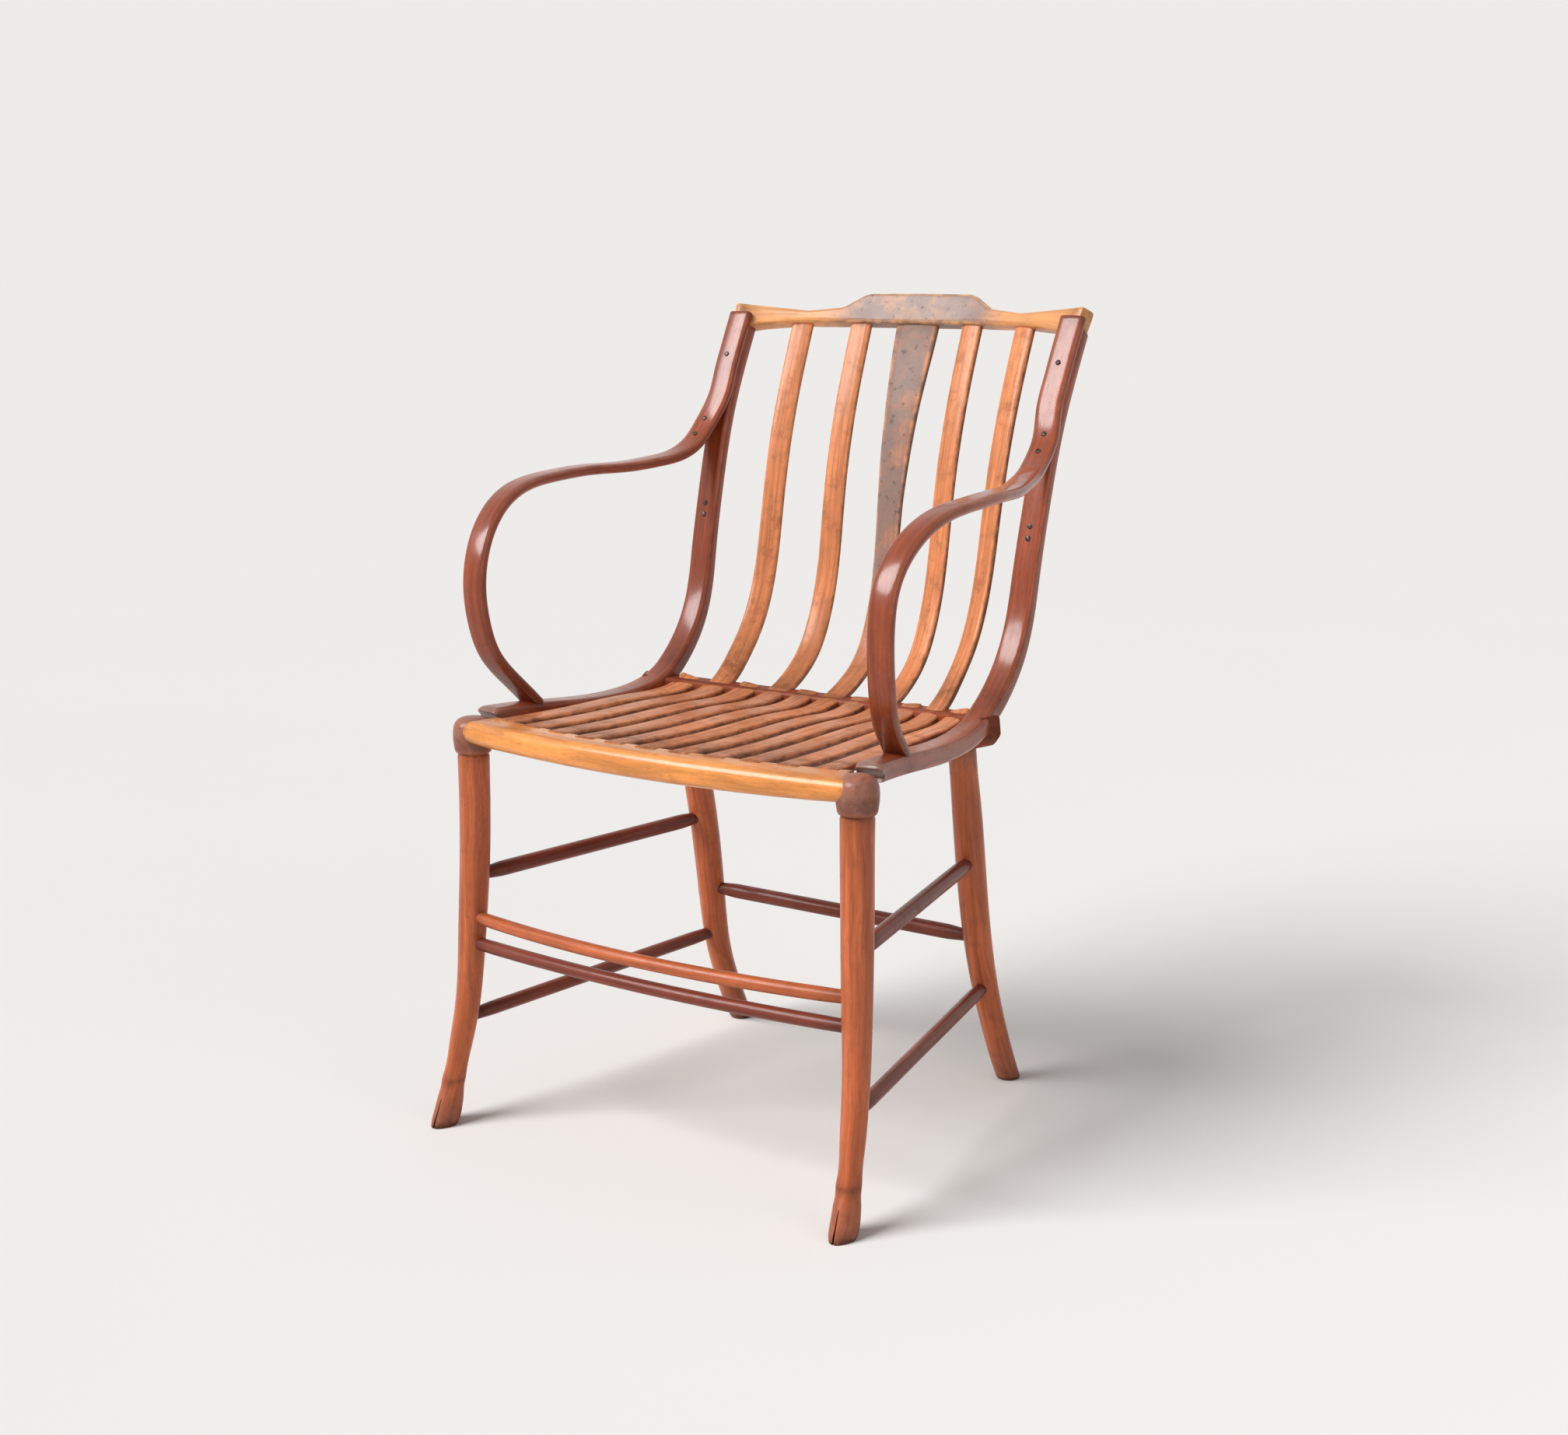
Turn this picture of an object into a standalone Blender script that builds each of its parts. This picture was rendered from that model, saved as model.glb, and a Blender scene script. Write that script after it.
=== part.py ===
"""Bentwood armchair with a slatted seat and back, bent arms and sabre legs.

Metres, +Z up; the sitter faces -Y, and left and right are the viewer's in front of the chair. The origin
lies on the floor, midway along the chair's depth. Each side of the frame is one bent member: a seat rail
that turns up into the back stile. Each arm is one bent strip: it lies on the stile, runs forward as the arm
rest, loops down and lands on the seat rail. Four back slats and the splat are single strips too: they run
from the front rail over the rear rail and up to the crest. Six shorter slats fill the seat between them.
"""

import math

import bmesh
import bpy
import numpy as np
from mathutils import Matrix, Vector

# Clearance left between pieces that touch, and the play of the slats where they twist over the rails.
GAP = 0.0003
SLAT_PLAY = 0.0006
SIDES = (("left", -1), ("right", 1))

# Seat and back: height of the seat at its lowest point, and the rise from there to the crest.
SEAT_Z = 0.4413
BACK_RISE = 0.4027
# Half spread of the two side members: where they turn up, at the crest, and their splay to the front.
REAR_HALF = 0.2110
TOP_HALF = 0.2190
SPLAY = 0.1
TURN_Y = 0.110

# Side member, seen from the side: (y, share of BACK_RISE) along its upper and front face.
SIDE_LINE = (
    (-0.187, 0.0311),
    (-0.100, 0.020),
    (0.010, 0.000),
    (0.083, 0.0166),
    (0.127, 0.0738),
    (0.169, 0.198),
    (0.190, 0.377),
    (0.203, 0.508),
    (0.236, 0.776),
    (0.281, 1.000),
)
SIDE_STATIONS = 26
RAIL_WIDE = 0.029
RAIL_THICK = 0.019
STILE_THICK = 0.0145
RAIL_ROUND = 0.0045
# Round tenon of the side rail in the front leg's knob.
RAIL_TENON_R = 0.0035
RAIL_TENON = 0.010
RAIL_TENON_ROOT = 0.012
RAIL_TENON_BELOW = 0.0140
# Tenon of the stile in the crest: its length, how far down it is rooted, and its share of the stile's width.
STILE_TENON = 0.014
STILE_TENON_ROOT = 0.016
STILE_TENON_SHARE = 0.72

# Seat and back sheet that the slats follow: (y, share of BACK_RISE) on the middle line and at the sides.
CENTRE_LINE = (
    (-0.203, 0.011),
    (-0.090, -0.003),
    (0.050, -0.011),
    (0.150, 0.000),
    (0.2047, 0.0685),
    (0.2306, 0.1538),
    (0.2496, 0.2898),
    (0.2639, 0.5133),
    (0.2886, 0.779),
    (0.3213, 1.000),
)
EDGE_LINE = (
    (-0.168, 0.011),
    (-0.080, 0.006),
    (0.020, 0.004),
    (0.103, 0.026),
    (0.118, 0.0919),
    (0.1501, 0.1696),
    (0.1818, 0.2898),
    (0.2100, 0.5133),
    (0.2440, 0.779),
    (0.2840, 1.000),
)
# Key point of both lines that lies over the rear rail.
REAR_STATION = 3
# Slats each side of the middle, the gap beside the outermost one, and their pitch as a share of the sheet's
# half width. The sheet twists most at its sides, so a short slat has one station more for each slat that
# lies between it and the middle.
SLATS = 5
SLAT_WIDE = 0.0260
SLAT_EDGE = 0.0063
SLAT_PITCH = (REAR_HALF - RAIL_WIDE / 2 - SLAT_EDGE - SLAT_WIDE / 2) / REAR_HALF / SLATS
SLAT_THICK = 0.0075
SLAT_ROUND = 0.0017
SLAT_IN_CREST = 0.010
SLAT_SUNK = 0.0060
SLAT_SHORT = 0.010
BACK_STATIONS = 24
SEAT_STATIONS = 7
# Width of the splat, by its share of BACK_RISE.
SPLAT_WIDTHS = ((0.0, 0.027), (0.30, 0.0285), (0.52, 0.032), (0.78, 0.043), (0.95, 0.053), (1.05, 0.056))

# Front seat rail: its front and rear faces are bowed by different amounts, and it gets less tall to its ends
# by a share of its height. Its ends run slanting into the knobs, up to just outside the leg's middle, and
# then along the side rails; they start, turn and stop at these depths behind the leg. A round tenon goes on
# into each knob, from inside to outside the leg's middle, ahead of it and below the rail's top. The rear
# seat rail reaches past the middle of the side members and is rounded off below at its ends, as (distance
# from the end, share of its height).
FRONT_RAIL_Y = -0.224
FRONT_RAIL_BOW = 0.017
FRONT_RAIL_DEEP = 0.040
FRONT_RAIL_REAR_BOW = 0.026
FRONT_RAIL_TALL = 0.029
FRONT_RAIL_THIN = 0.15
FRONT_RAIL_ROUND = 0.0115
FRONT_RAIL_FACETS = 3
FRONT_RAIL_BELOW = 0.0008
FRONT_END = (-0.028, 0.0125, 0.037)
FRONT_END_OUT = 0.0007
FRONT_TENON_R = 0.004
FRONT_TENON = 0.004
FRONT_TENON_ROOT = 0.019
FRONT_TENON_AHEAD = 0.005
FRONT_TENON_BELOW = 0.014
REAR_RAIL_PAST = 0.017
REAR_RAIL_HALF = REAR_HALF + REAR_RAIL_PAST
REAR_RAIL_DEEP = 0.026
REAR_RAIL_TALL = 0.035
REAR_RAIL_ROUND = 0.005
REAR_RAIL_END = ((0.0, 0.66), (0.009, 0.93), (0.018, 1.0))

# Crest: its ear past the middle of the stile, thickness, lean, and its outline as (share of the half length,
# height above the crest line).
CREST_EAR = 0.008
CREST_HALF = TOP_HALF + CREST_EAR
CREST_THICK = 0.020
CREST_LEAN = math.radians(25)
CREST_ROUND = 0.004
CREST_TOP = ((0.0, 0.0410), (0.29, 0.0405), (0.415, 0.0250), (0.617, 0.0205), (0.837, 0.0250), (1.0, 0.0290))
CREST_LOW = ((0.0, 0.007), (0.66, 0.007), (0.88, 0.003), (1.0, -0.004))

# Arm, along its outer face: where it leaves the stile, as (distance ahead of the stile, share of ARM_RISE,
# distance outside the seat rail's line); from there on, as (y, share, distance outside); and where it lands
# on the seat rail, as (y, height above the rail, distance outside).
ARM_RISE = 0.2527
ARM_LEAVES = (
    (0.0175, 1.170, 0.0125),
    (0.0324, 1.087, 0.0150),
)
ARM_LINE = (
    (0.1636, 1.038, 0.0200),
    (0.1337, 1.018, 0.0276),
    (0.094, 1.004, 0.0370),
    (0.040, 1.004, 0.0420),
    (-0.020, 0.994, 0.0395),
    (-0.0966, 0.946, 0.0285),
    (-0.1365, 0.8536, 0.0200),
    (-0.1612, 0.723, 0.0142),
    (-0.1702, 0.5687, 0.0126),
    (-0.1668, 0.4009, 0.0112),
    (-0.154, 0.248, 0.0080),
    (-0.133, 0.139, 0.0027),
)
ARM_LANDS = (
    (-0.112, 0.0051, 0.0000),
    (-0.101, -0.0056, -0.0010),
)
ARM_STATIONS = 31
ARM_WIDE_TOP = 0.030
ARM_WIDE_LOOP = 0.0285
ARM_THICK = 0.0098
ARM_ROUND = 0.003
# Share of ARM_RISE above which the arm lies on the stile, and its reach past the stile's end.
ARM_LIES = 1.275
ARM_OVER_CREST = 0.016
# Peg under the arm's foot, ahead of the foot's end.
ARM_PEG_R = 0.0035
ARM_PEG = 0.010
ARM_PEG_AHEAD = 0.006

# Front legs: (share of the shaft's height, forward of the top, outward of the top, radius).
FRONT_LEG_Y = -0.187
FRONT_LEG = (
    (0.000, 0.0456, 0.0155, 0.0126),
    (0.010, 0.0440, 0.0153, 0.0138),
    (0.039, 0.0400, 0.0148, 0.0142),
    (0.074, 0.0365, 0.0142, 0.0136),
    (0.101, 0.0340, 0.0137, 0.0125),
    (0.118, 0.0325, 0.0133, 0.0127),
    (0.137, 0.0302, 0.0128, 0.0121),
    (0.209, 0.0224, 0.0108, 0.0125),
    (0.299, 0.0142, 0.0082, 0.0134),
    (0.405, 0.0084, 0.0062, 0.0142),
    (0.511, 0.0056, 0.0045, 0.0152),
    (0.626, 0.0029, 0.0027, 0.0160),
    (0.761, 0.0005, 0.0010, 0.0165),
    (0.908, 0.0000, 0.0000, 0.0168),
    (0.992, 0.0000, 0.0000, 0.0170),
)
# Knob that ends the shaft and takes both rails: how far below the seat it starts, and its outline as (height
# above the shaft, radius). The side rail fits it up to the key that has the cap above it, and the notch for
# the front rail has some room ahead of the rail. Then the cloven hoof.
KNOB_BELOW = 0.0338
KNOB = (
    (0.0000, 0.0158),
    (0.0012, 0.0183),
    (0.0060, 0.0200),
    (0.0125, 0.0209),
    (0.0195, 0.0212),
    (0.0265, 0.0208),
    (0.0320, 0.0192),
    (0.0360, 0.0160),
    (0.0385, 0.0110),
    (0.0394, 0.0055),
)
KNOB_CAP = 7
KNOB_ROOM = 0.0015
KNOB_R = max(radius for _, radius in KNOB)
HOOF_TALL = 0.048
HOOF_TOE = 0.0100
HOOF_CLEFT = 0.0034
HOOF_CLEFT_TALL = 0.0345
HOOF_CLEFT_LEAN = 0.003
LEG_SIDES = 16

# Rear legs, set in from the rear rail's ends: (share of the height, back of the top, outward of the top,
# radius).
REAR_LEG_IN = 0.045
REAR_LEG_X = REAR_RAIL_HALF - REAR_LEG_IN
REAR_LEG_SET = 0.001
REAR_LEG = (
    (0.000, 0.1165, 0.0045, 0.0130),
    (0.072, 0.1000, 0.0043, 0.0136),
    (0.144, 0.0855, 0.0040, 0.0139),
    (0.216, 0.0725, 0.0035, 0.0141),
    (0.300, 0.0605, 0.0020, 0.0147),
    (0.439, 0.0470, -0.0010, 0.0157),
    (0.648, 0.0310, -0.0025, 0.0165),
    (0.816, 0.0170, -0.0012, 0.0162),
    (0.924, 0.0070, -0.0004, 0.0152),
)
REAR_TENON_R = 0.0075
REAR_TENON = 0.013
REAR_LEG_SIDES = 14

# Stretchers: height at the front or left leg, height at the other leg, radius in the middle, bow forward.
SIDE_UPPER = (0.273, 0.276, 0.0078, 0.0)
SIDE_LOWER = (0.1155, 0.127, 0.0067, 0.0)
FRONT_UPPER = (0.2275, 0.2275, 0.0067, 0.026)
FRONT_LOWER = (0.1985, 0.1985, 0.0067, 0.017)
REAR_ONLY = (0.1866, 0.1866, 0.0072, 0.0)
STRETCHER_END_R = 0.0059
STRETCHER_TAPER = 0.06
STRETCHER_IN = 0.0035
STRETCHER_SIDES = 12
# Length of the bars that cut open sockets, past the face they start in.
SOCKET_CLEAR = 0.01

# Colour and roughness of each wood.
WOODS = {
    "varnish": ((0.42, 0.13, 0.055), 0.32),
    "amber": ((0.75, 0.33, 0.11), 0.28),
    "worn": ((0.45, 0.27, 0.20), 0.42),
    "seat": ((0.50, 0.19, 0.09), 0.45),
    "turned": ((0.24, 0.075, 0.045), 0.38),
    "leg": ((0.38, 0.13, 0.06), 0.36),
}

for old in list(bpy.data.objects):
    bpy.data.objects.remove(old)
PARTS = bpy.data.collections.new("bentwood_armchair")
TOOLS = bpy.data.collections.new("cutters")
for group in (PARTS, TOOLS):
    bpy.context.scene.collection.children.link(group)


def smooth_line(keys, fine=480):
    """Points along the natural cubic line through the key points."""
    keys = np.array(keys, float)
    steps = np.linalg.norm(np.diff(keys, axis=0), axis=1)
    t = np.concatenate([[0.0], np.cumsum(steps)])
    n = len(t)
    left = np.eye(n)
    right = np.zeros_like(keys)
    for i in range(1, n - 1):
        left[i, i - 1 : i + 2] = steps[i - 1], 2 * (steps[i - 1] + steps[i]), steps[i]
        right[i] = 6 * ((keys[i + 1] - keys[i]) / steps[i] - (keys[i] - keys[i - 1]) / steps[i - 1])
    m = np.linalg.solve(left, right)
    s = np.linspace(0, t[-1], fine)
    i = np.clip(np.searchsorted(t, s, side="right") - 1, 0, n - 2)
    after = (s - t[i])[:, None]
    before = (t[i + 1] - s)[:, None]
    w = steps[i][:, None]
    bend = (m[i] * before**3 + m[i + 1] * after**3) / (6 * w)
    return bend + (keys[i] / w - m[i] * w / 6) * before + (keys[i + 1] / w - m[i + 1] * w / 6) * after


def tangents(line):
    t = np.gradient(line, axis=0)
    return t / np.linalg.norm(t, axis=1)[:, None]


def pick(line, count, bend=1.2):
    """Indices of count stations, closer together where the line bends."""
    t = tangents(line)
    length = np.linalg.norm(np.diff(line, axis=0), axis=1)
    turn = np.linalg.norm(np.diff(t, axis=0), axis=1)
    weight = length / length.sum() + bend * turn / max(turn.sum(), 1e-9)
    total = np.concatenate([[0.0], np.cumsum(weight)])
    return np.interp(np.linspace(0, total[-1], count), total, np.arange(len(line))).round().astype(int)


def outline(keys, x):
    """Heights at x of the straight-sided outline through the key points."""
    return np.interp(x, *zip(*keys))


def side_at(y):
    """Half spread of the side members at depth y of the seat."""
    return REAR_HALF + SPLAY * np.maximum(TURN_Y - y, 0)


def rise(share):
    return SEAT_Z + np.asarray(share) * BACK_RISE


def mirrored(line, side):
    return line * np.array([side, 1, 1])


def level(line):
    """Width directions straight across the chair, one for each point of a line."""
    return np.tile([1.0, 0.0, 0.0], (len(line), 1))


def across(along, width):
    """Width directions made square to the line, and the face normals they leave."""
    width = width - along * np.sum(width * along, axis=1)[:, None]
    width /= np.linalg.norm(width, axis=1)[:, None]
    return width, np.cross(width, along)


def band(line, width, half, lift=0.0, reach=0.0):
    """Edge lines at half width each side of a line, lifted off its face and lengthened at both ends."""
    along = tangents(line)
    side, normal = across(along, width)
    points = line + normal * lift
    points[0] -= along[0] * reach
    points[-1] += along[-1] * reach
    half = np.broadcast_to(half, len(line))[:, None]
    return points - side * half, points + side * half


def wood(name, look):
    colour, rough = WOODS[look]
    made = bpy.data.materials.new(name + "_" + look)
    made.use_nodes = True
    shader = made.node_tree.nodes["Principled BSDF"]
    shader.inputs["Base Color"].default_value = (*colour, 1.0)
    shader.inputs["Roughness"].default_value = rough
    shader.inputs["Metallic"].default_value = 0.0
    return made


def add(name, mesh, look=None):
    """A new object: a part of the chair in its wood or, with no wood named, a cutter."""
    obj = bpy.data.objects.new(name, mesh)
    if look:
        PARTS.objects.link(obj)
        mesh.materials.append(wood(name, look))
        mesh.shade_smooth()
        mesh.set_sharp_from_angle(angle=math.radians(40))
    else:
        TOOLS.objects.link(obj)
        obj.hide_render = True
        obj.display_type = "WIRE"
    return obj


def strips(name, bands, thick, facing, rounded=0.0, look=None, segments=2, shares=None):
    """Bands between pairs of edge lines, thickened away from the way they face, with rounded edges."""
    bm = bmesh.new()
    layer = bm.verts.layers.deform.verify()
    for low, high in bands:
        rows = [(bm.verts.new(a), bm.verts.new(b)) for a, b in zip(low, high)]
        for i, row in enumerate(rows):
            for vert in row:
                vert[layer][0] = 1.0 if shares is None else shares[i]
        faces = [bm.faces.new((a[0], a[1], b[1], b[0])) for a, b in zip(rows, rows[1:])]
        faces[0].normal_update()
        if faces[0].normal.dot(Vector(facing)) < 0:
            bmesh.ops.reverse_faces(bm, faces=faces)
    mesh = bpy.data.meshes.new(name)
    bm.to_mesh(mesh)
    bm.free()
    obj = add(name, mesh, look)
    obj.vertex_groups.new(name="thickness")
    solid = obj.modifiers.new("Solidify", "SOLIDIFY")
    solid.thickness = thick
    solid.offset = -1
    solid.use_even_offset = True
    solid.vertex_group = "thickness"
    if rounded:
        bevel = obj.modifiers.new("Bevel", "BEVEL")
        bevel.width = rounded
        bevel.segments = segments
        bevel.limit_method = "ANGLE"
        bevel.angle_limit = math.radians(50)
        bevel.use_clamp_overlap = False
    return obj


def rod(name, points, radii, sides, look):
    """A round bent rod: a curve with a bevel, its thickness set point by point, made a mesh."""
    curve = bpy.data.curves.new(name, "CURVE")
    curve.dimensions = "3D"
    curve.bevel_depth = 1.0
    curve.bevel_resolution = (sides - 4) // 2
    curve.use_fill_caps = True
    spline = curve.splines.new("POLY")
    spline.points.add(len(points) - 1)
    for knot, point, radius in zip(spline.points, points, radii):
        knot.co = (*point, 1.0)
        knot.radius = radius
    guide = bpy.data.objects.new(name + "_line", curve)
    TOOLS.objects.link(guide)
    graph = bpy.context.evaluated_depsgraph_get()
    mesh = bpy.data.meshes.new_from_object(guide.evaluated_get(graph))
    bpy.data.objects.remove(guide)
    bm = bmesh.new()
    bm.from_mesh(mesh)
    bmesh.ops.remove_doubles(bm, verts=bm.verts, dist=1e-6)
    bmesh.ops.recalc_face_normals(bm, faces=bm.faces)
    bm.to_mesh(mesh)
    bm.free()
    mesh.name = name
    return add(name, mesh, look)


def loft(name, rings, look=None):
    """A skin over rings of equal count, closed at both ends."""
    bm = bmesh.new()
    rows = [[bm.verts.new(point) for point in ring] for ring in rings]
    for low, high in zip(rows, rows[1:]):
        for i in range(len(low)):
            j = (i + 1) % len(low)
            bm.faces.new((low[i], low[j], high[j], high[i]))
    bm.faces.new(rows[0][::-1])
    bm.faces.new(rows[-1])
    bmesh.ops.recalc_face_normals(bm, faces=bm.faces)
    mesh = bpy.data.meshes.new(name)
    bm.to_mesh(mesh)
    bm.free()
    return add(name, mesh, look)


def bars(name, ends, sides=12):
    """Round bars between pairs of points, each with its radius, that cut sockets or become tenons."""
    bm = bmesh.new()
    for start, end, radius in ends:
        start, end = Vector(start), Vector(end)
        turn = (end - start).to_track_quat("Z", "Y").to_matrix().to_4x4()
        bmesh.ops.create_cone(
            bm,
            cap_ends=True,
            segments=sides,
            radius1=radius,
            radius2=radius,
            depth=(end - start).length,
            matrix=Matrix.Translation((start + end) / 2) @ turn,
        )
    mesh = bpy.data.meshes.new(name)
    bm.to_mesh(mesh)
    bm.free()
    return add(name, mesh)


def combine(obj, other, operation):
    boolean = obj.modifiers.new(operation.title() + " " + other.name, "BOOLEAN")
    boolean.object = other
    boolean.operation = operation
    boolean.solver = "EXACT"


def cut(obj, other):
    combine(obj, other, "DIFFERENCE")


def side_line():
    """The side member's upper and front face line on the right, from the front end to the crest."""
    line = smooth_line(SIDE_LINE)
    y, z = line[:, 0], rise(line[:, 1])
    lean = np.clip(line[:, 1], 0, 1) * (TOP_HALF - REAR_HALF)
    return np.stack([side_at(y) + lean, y, z], axis=1)


def sheet_line(u):
    """A line of the seat and back sheet at the share u of its half width, and its width directions."""
    keys = []
    for centre, edge in zip(CENTRE_LINE, EDGE_LINE):
        half = side_at(edge[0]) + max(edge[1], 0) * (TOP_HALF - REAR_HALF)
        keys.append((centre[0], rise(centre[1]), edge[0], rise(edge[1]), half))
    line = smooth_line(keys)
    bow = line[:, :2] - line[:, 2:4]
    points = np.column_stack([u * line[:, 4], line[:, 2:4] + bow * (1 - u * u)])
    width = np.column_stack([line[:, 4], -2 * u * bow])
    return points, width


def rear_rail_line(x):
    """Centre of the rear rail's upper face at x: it bows back and dips, as the sheet does over it."""
    centre, edge = CENTRE_LINE[REAR_STATION], EDGE_LINE[REAR_STATION]
    u = np.asarray(x) / side_at(edge[0])
    y = edge[0] + (centre[0] - edge[0]) * (1 - u * u)
    z = rise(edge[1] + (centre[1] - edge[1]) * (1 - u * u)) - SLAT_THICK + SLAT_SUNK
    return np.stack([np.broadcast_to(x, np.shape(y)), y, z], axis=-1)


def front_rail_top():
    return float(rise(EDGE_LINE[0][1])) - FRONT_RAIL_BELOW


def front_end():
    """Plan of the front rail's right end: slanting across the knob, then along the side rail."""
    inner = RAIL_WIDE / 2 * math.hypot(1, SPLAY) + GAP
    y = FRONT_LEG_Y + np.array(FRONT_END)
    x = side_at(y) - inner
    x[0] = side_at(FRONT_LEG_Y) + FRONT_END_OUT
    return np.stack([x, y], axis=1)


def front_rail_at(x):
    """Depth of the front rail's front and rear face at x, and its height there."""
    bow = (np.asarray(x) / side_at(FRONT_LEG_Y)) ** 2
    front = FRONT_RAIL_Y + FRONT_RAIL_BOW * bow
    rear = FRONT_RAIL_Y + FRONT_RAIL_DEEP + FRONT_RAIL_REAR_BOW * bow
    return front, rear, FRONT_RAIL_TALL * (1 - FRONT_RAIL_THIN * bow)


def front_tenon(side, out):
    """A point on the axis of the front rail's tenon, so far outside the leg's middle."""
    x = float(side_at(FRONT_LEG_Y)) + out
    return np.array([side * x, FRONT_LEG_Y - FRONT_TENON_AHEAD, front_rail_top() - FRONT_TENON_BELOW])


def rail_tenon(side, line, into):
    """A point on the axis of the side rail's tenon, so far into the knob."""
    y = FRONT_LEG_Y + KNOB_R - into
    z = np.interp(y, line[:, 1], line[:, 2]) - RAIL_TENON_BELOW
    return np.array([side * float(side_at(y)), y, z])


def side_member(word, side, line):
    """Seat rail and back stile in one bent piece, thinner up the back."""
    at = pick(line, SIDE_STATIONS)
    up = np.clip((line[at, 2] - SEAT_Z) / (BACK_RISE / 2), 0, 1)
    shares = 1 - (1 - STILE_THICK / RAIL_THICK) * up
    points = mirrored(line[at], side)
    edges = band(points, level(points), RAIL_WIDE / 2)
    return strips("stile_rail_" + word, [edges], RAIL_THICK, (0, 0, 1), RAIL_ROUND, "varnish", shares=shares)


def slat_name(k):
    if k == 0:
        return "back_splat"
    kind, places = ("seat", ("inner", "middle", "outer")) if k % 2 else ("back", ("inner", "outer"))
    return f"{kind}_slat_{'left' if k < 0 else 'right'}_{places[(abs(k) - 1) // 2]}"


def slats():
    """The slats and the splat: even ones run on up the back, odd ones stop on the rear rail.

    Returns the cutter of their notches, which is all of them grown by the play.
    """
    sockets = []
    for k in range(-SLATS, SLATS + 1):
        points, width = sheet_line(k * SLAT_PITCH)
        if k % 2:
            last = rear_rail_line(points[:, 0])[:, 1] + REAR_RAIL_DEEP / 2 - SLAT_SHORT
            stop = np.argmax(points[:, 1] > last)
            points, width = points[:stop], width[:stop]
            at = pick(points, SEAT_STATIONS + abs(k))
        else:
            points = np.vstack([points, points[-1] + tangents(points)[-1] * SLAT_IN_CREST])
            width = np.vstack([width, width[-1]])
            at = pick(points, BACK_STATIONS)
        half = np.full(len(at), SLAT_WIDE / 2)
        if k == 0:
            half = outline(SPLAT_WIDTHS, (points[at, 2] - SEAT_Z) / BACK_RISE) / 2
        edges = band(points[at], width[at], half)
        look = "seat" if k else "worn"
        strips(slat_name(k), [edges], SLAT_THICK, (0, 0, 1), SLAT_ROUND, look, segments=1)
        sockets.append(band(points[at], width[at], half + SLAT_PLAY, lift=SLAT_PLAY, reach=SLAT_PLAY))
    return strips("slat_cutter", sockets, SLAT_THICK + 2 * SLAT_PLAY, (0, 0, 1))


def front_seat_rail(slat_cutter):
    """A bowed bar cut off at its ends and notched for the slats, with a tenon into each knob."""
    x = np.linspace(-1, 1, 13) * float(side_at(FRONT_LEG_Y) + KNOB_R)
    front, rear, tall = front_rail_at(x)
    top = np.full(len(x), front_rail_top())
    edges = np.stack([x, front, top], axis=1), np.stack([x, rear, top], axis=1)
    rail = strips(
        "front_seat_rail",
        [edges],
        FRONT_RAIL_TALL,
        (0, 0, 1),
        FRONT_RAIL_ROUND,
        "amber",
        segments=FRONT_RAIL_FACETS,
        shares=tall / FRONT_RAIL_TALL,
    )
    tenons = []
    for word, side in SIDES:
        plan = front_end()
        plan = np.vstack([plan, (plan + [2 * KNOB_R, 0])[::-1]])
        heights = top[0] - 2 * FRONT_RAIL_TALL, top[0] + FRONT_RAIL_TALL
        rings = [np.column_stack([plan, np.full(len(plan), z)]) for z in heights]
        cut(rail, loft("front_end_cutter_" + word, [mirrored(ring, side) for ring in rings]))
        tenons.append((front_tenon(side, -FRONT_TENON_ROOT), front_tenon(side, FRONT_TENON), FRONT_TENON_R))
    cut(rail, slat_cutter)
    combine(rail, bars("front_rail_tenons", tenons), "UNION")


def knob_notch(word, side):
    """Cutter of the front rail's place in a knob: the rail's end, grown by the gap and with room ahead."""
    gap = 1.2 * GAP
    (fore, fore_y), (turn, turn_y) = front_end()[:2]
    quarter = np.linspace(0, math.pi / 2, FRONT_RAIL_FACETS + 1)
    angle = np.concatenate([quarter + k * math.pi / 2 for k in range(4)])
    right = np.repeat([1, 0, 0, 1], len(quarter))
    upper = np.repeat([1, 1, 0, 0], len(quarter))
    rounded = FRONT_RAIL_ROUND + gap
    high = front_rail_top() + gap - rounded
    rings = []
    for inside in np.linspace(2 * KNOB_R, 0, 4):
        front, rear, _ = front_rail_at(fore - inside)
        near, far = front - KNOB_ROOM - gap + rounded, rear + gap - rounded
        y = near + (far - near) * right + rounded * np.cos(angle)
        x = fore + gap - inside + (y - fore_y) * (turn - fore) / (turn_y - fore_y)
        low = front_rail_top() - front_rail_at(x)[2] - gap + rounded
        z = low + (high - low) * upper + rounded * np.sin(angle)
        rings.append(np.stack([x, y, z], axis=1))
    return loft("knob_notch_" + word, [mirrored(ring, side) for ring in rings])


def rear_seat_rail(slat_cutter):
    """Bows back and dips in the middle, notched where the slats cross it; returned with its own cutter."""
    ends = np.array([distance for distance, _ in REAR_RAIL_END])
    inner = np.linspace(-1, 1, 15) * (REAR_RAIL_HALF - ends[-1])
    x = np.concatenate([ends[:-1] - REAR_RAIL_HALF, inner, REAR_RAIL_HALF - ends[-2::-1]])
    shares = outline(REAR_RAIL_END, REAR_RAIL_HALF - np.abs(x))
    middle = rear_rail_line(x)
    deep = np.array([0, REAR_RAIL_DEEP / 2, 0])
    edges = middle - deep, middle + deep
    rail = strips(
        "rear_seat_rail", [edges], REAR_RAIL_TALL, (0, 0, 1), REAR_RAIL_ROUND, "varnish", shares=shares
    )
    cut(rail, slat_cutter)
    grown = edges[0] + [0, -GAP, GAP], edges[1] + [0, GAP, GAP]
    cutter = strips("rear_rail_cutter", [grown], REAR_RAIL_TALL + 2 * GAP, (0, 0, 1), REAR_RAIL_ROUND)
    return rail, cutter


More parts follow.
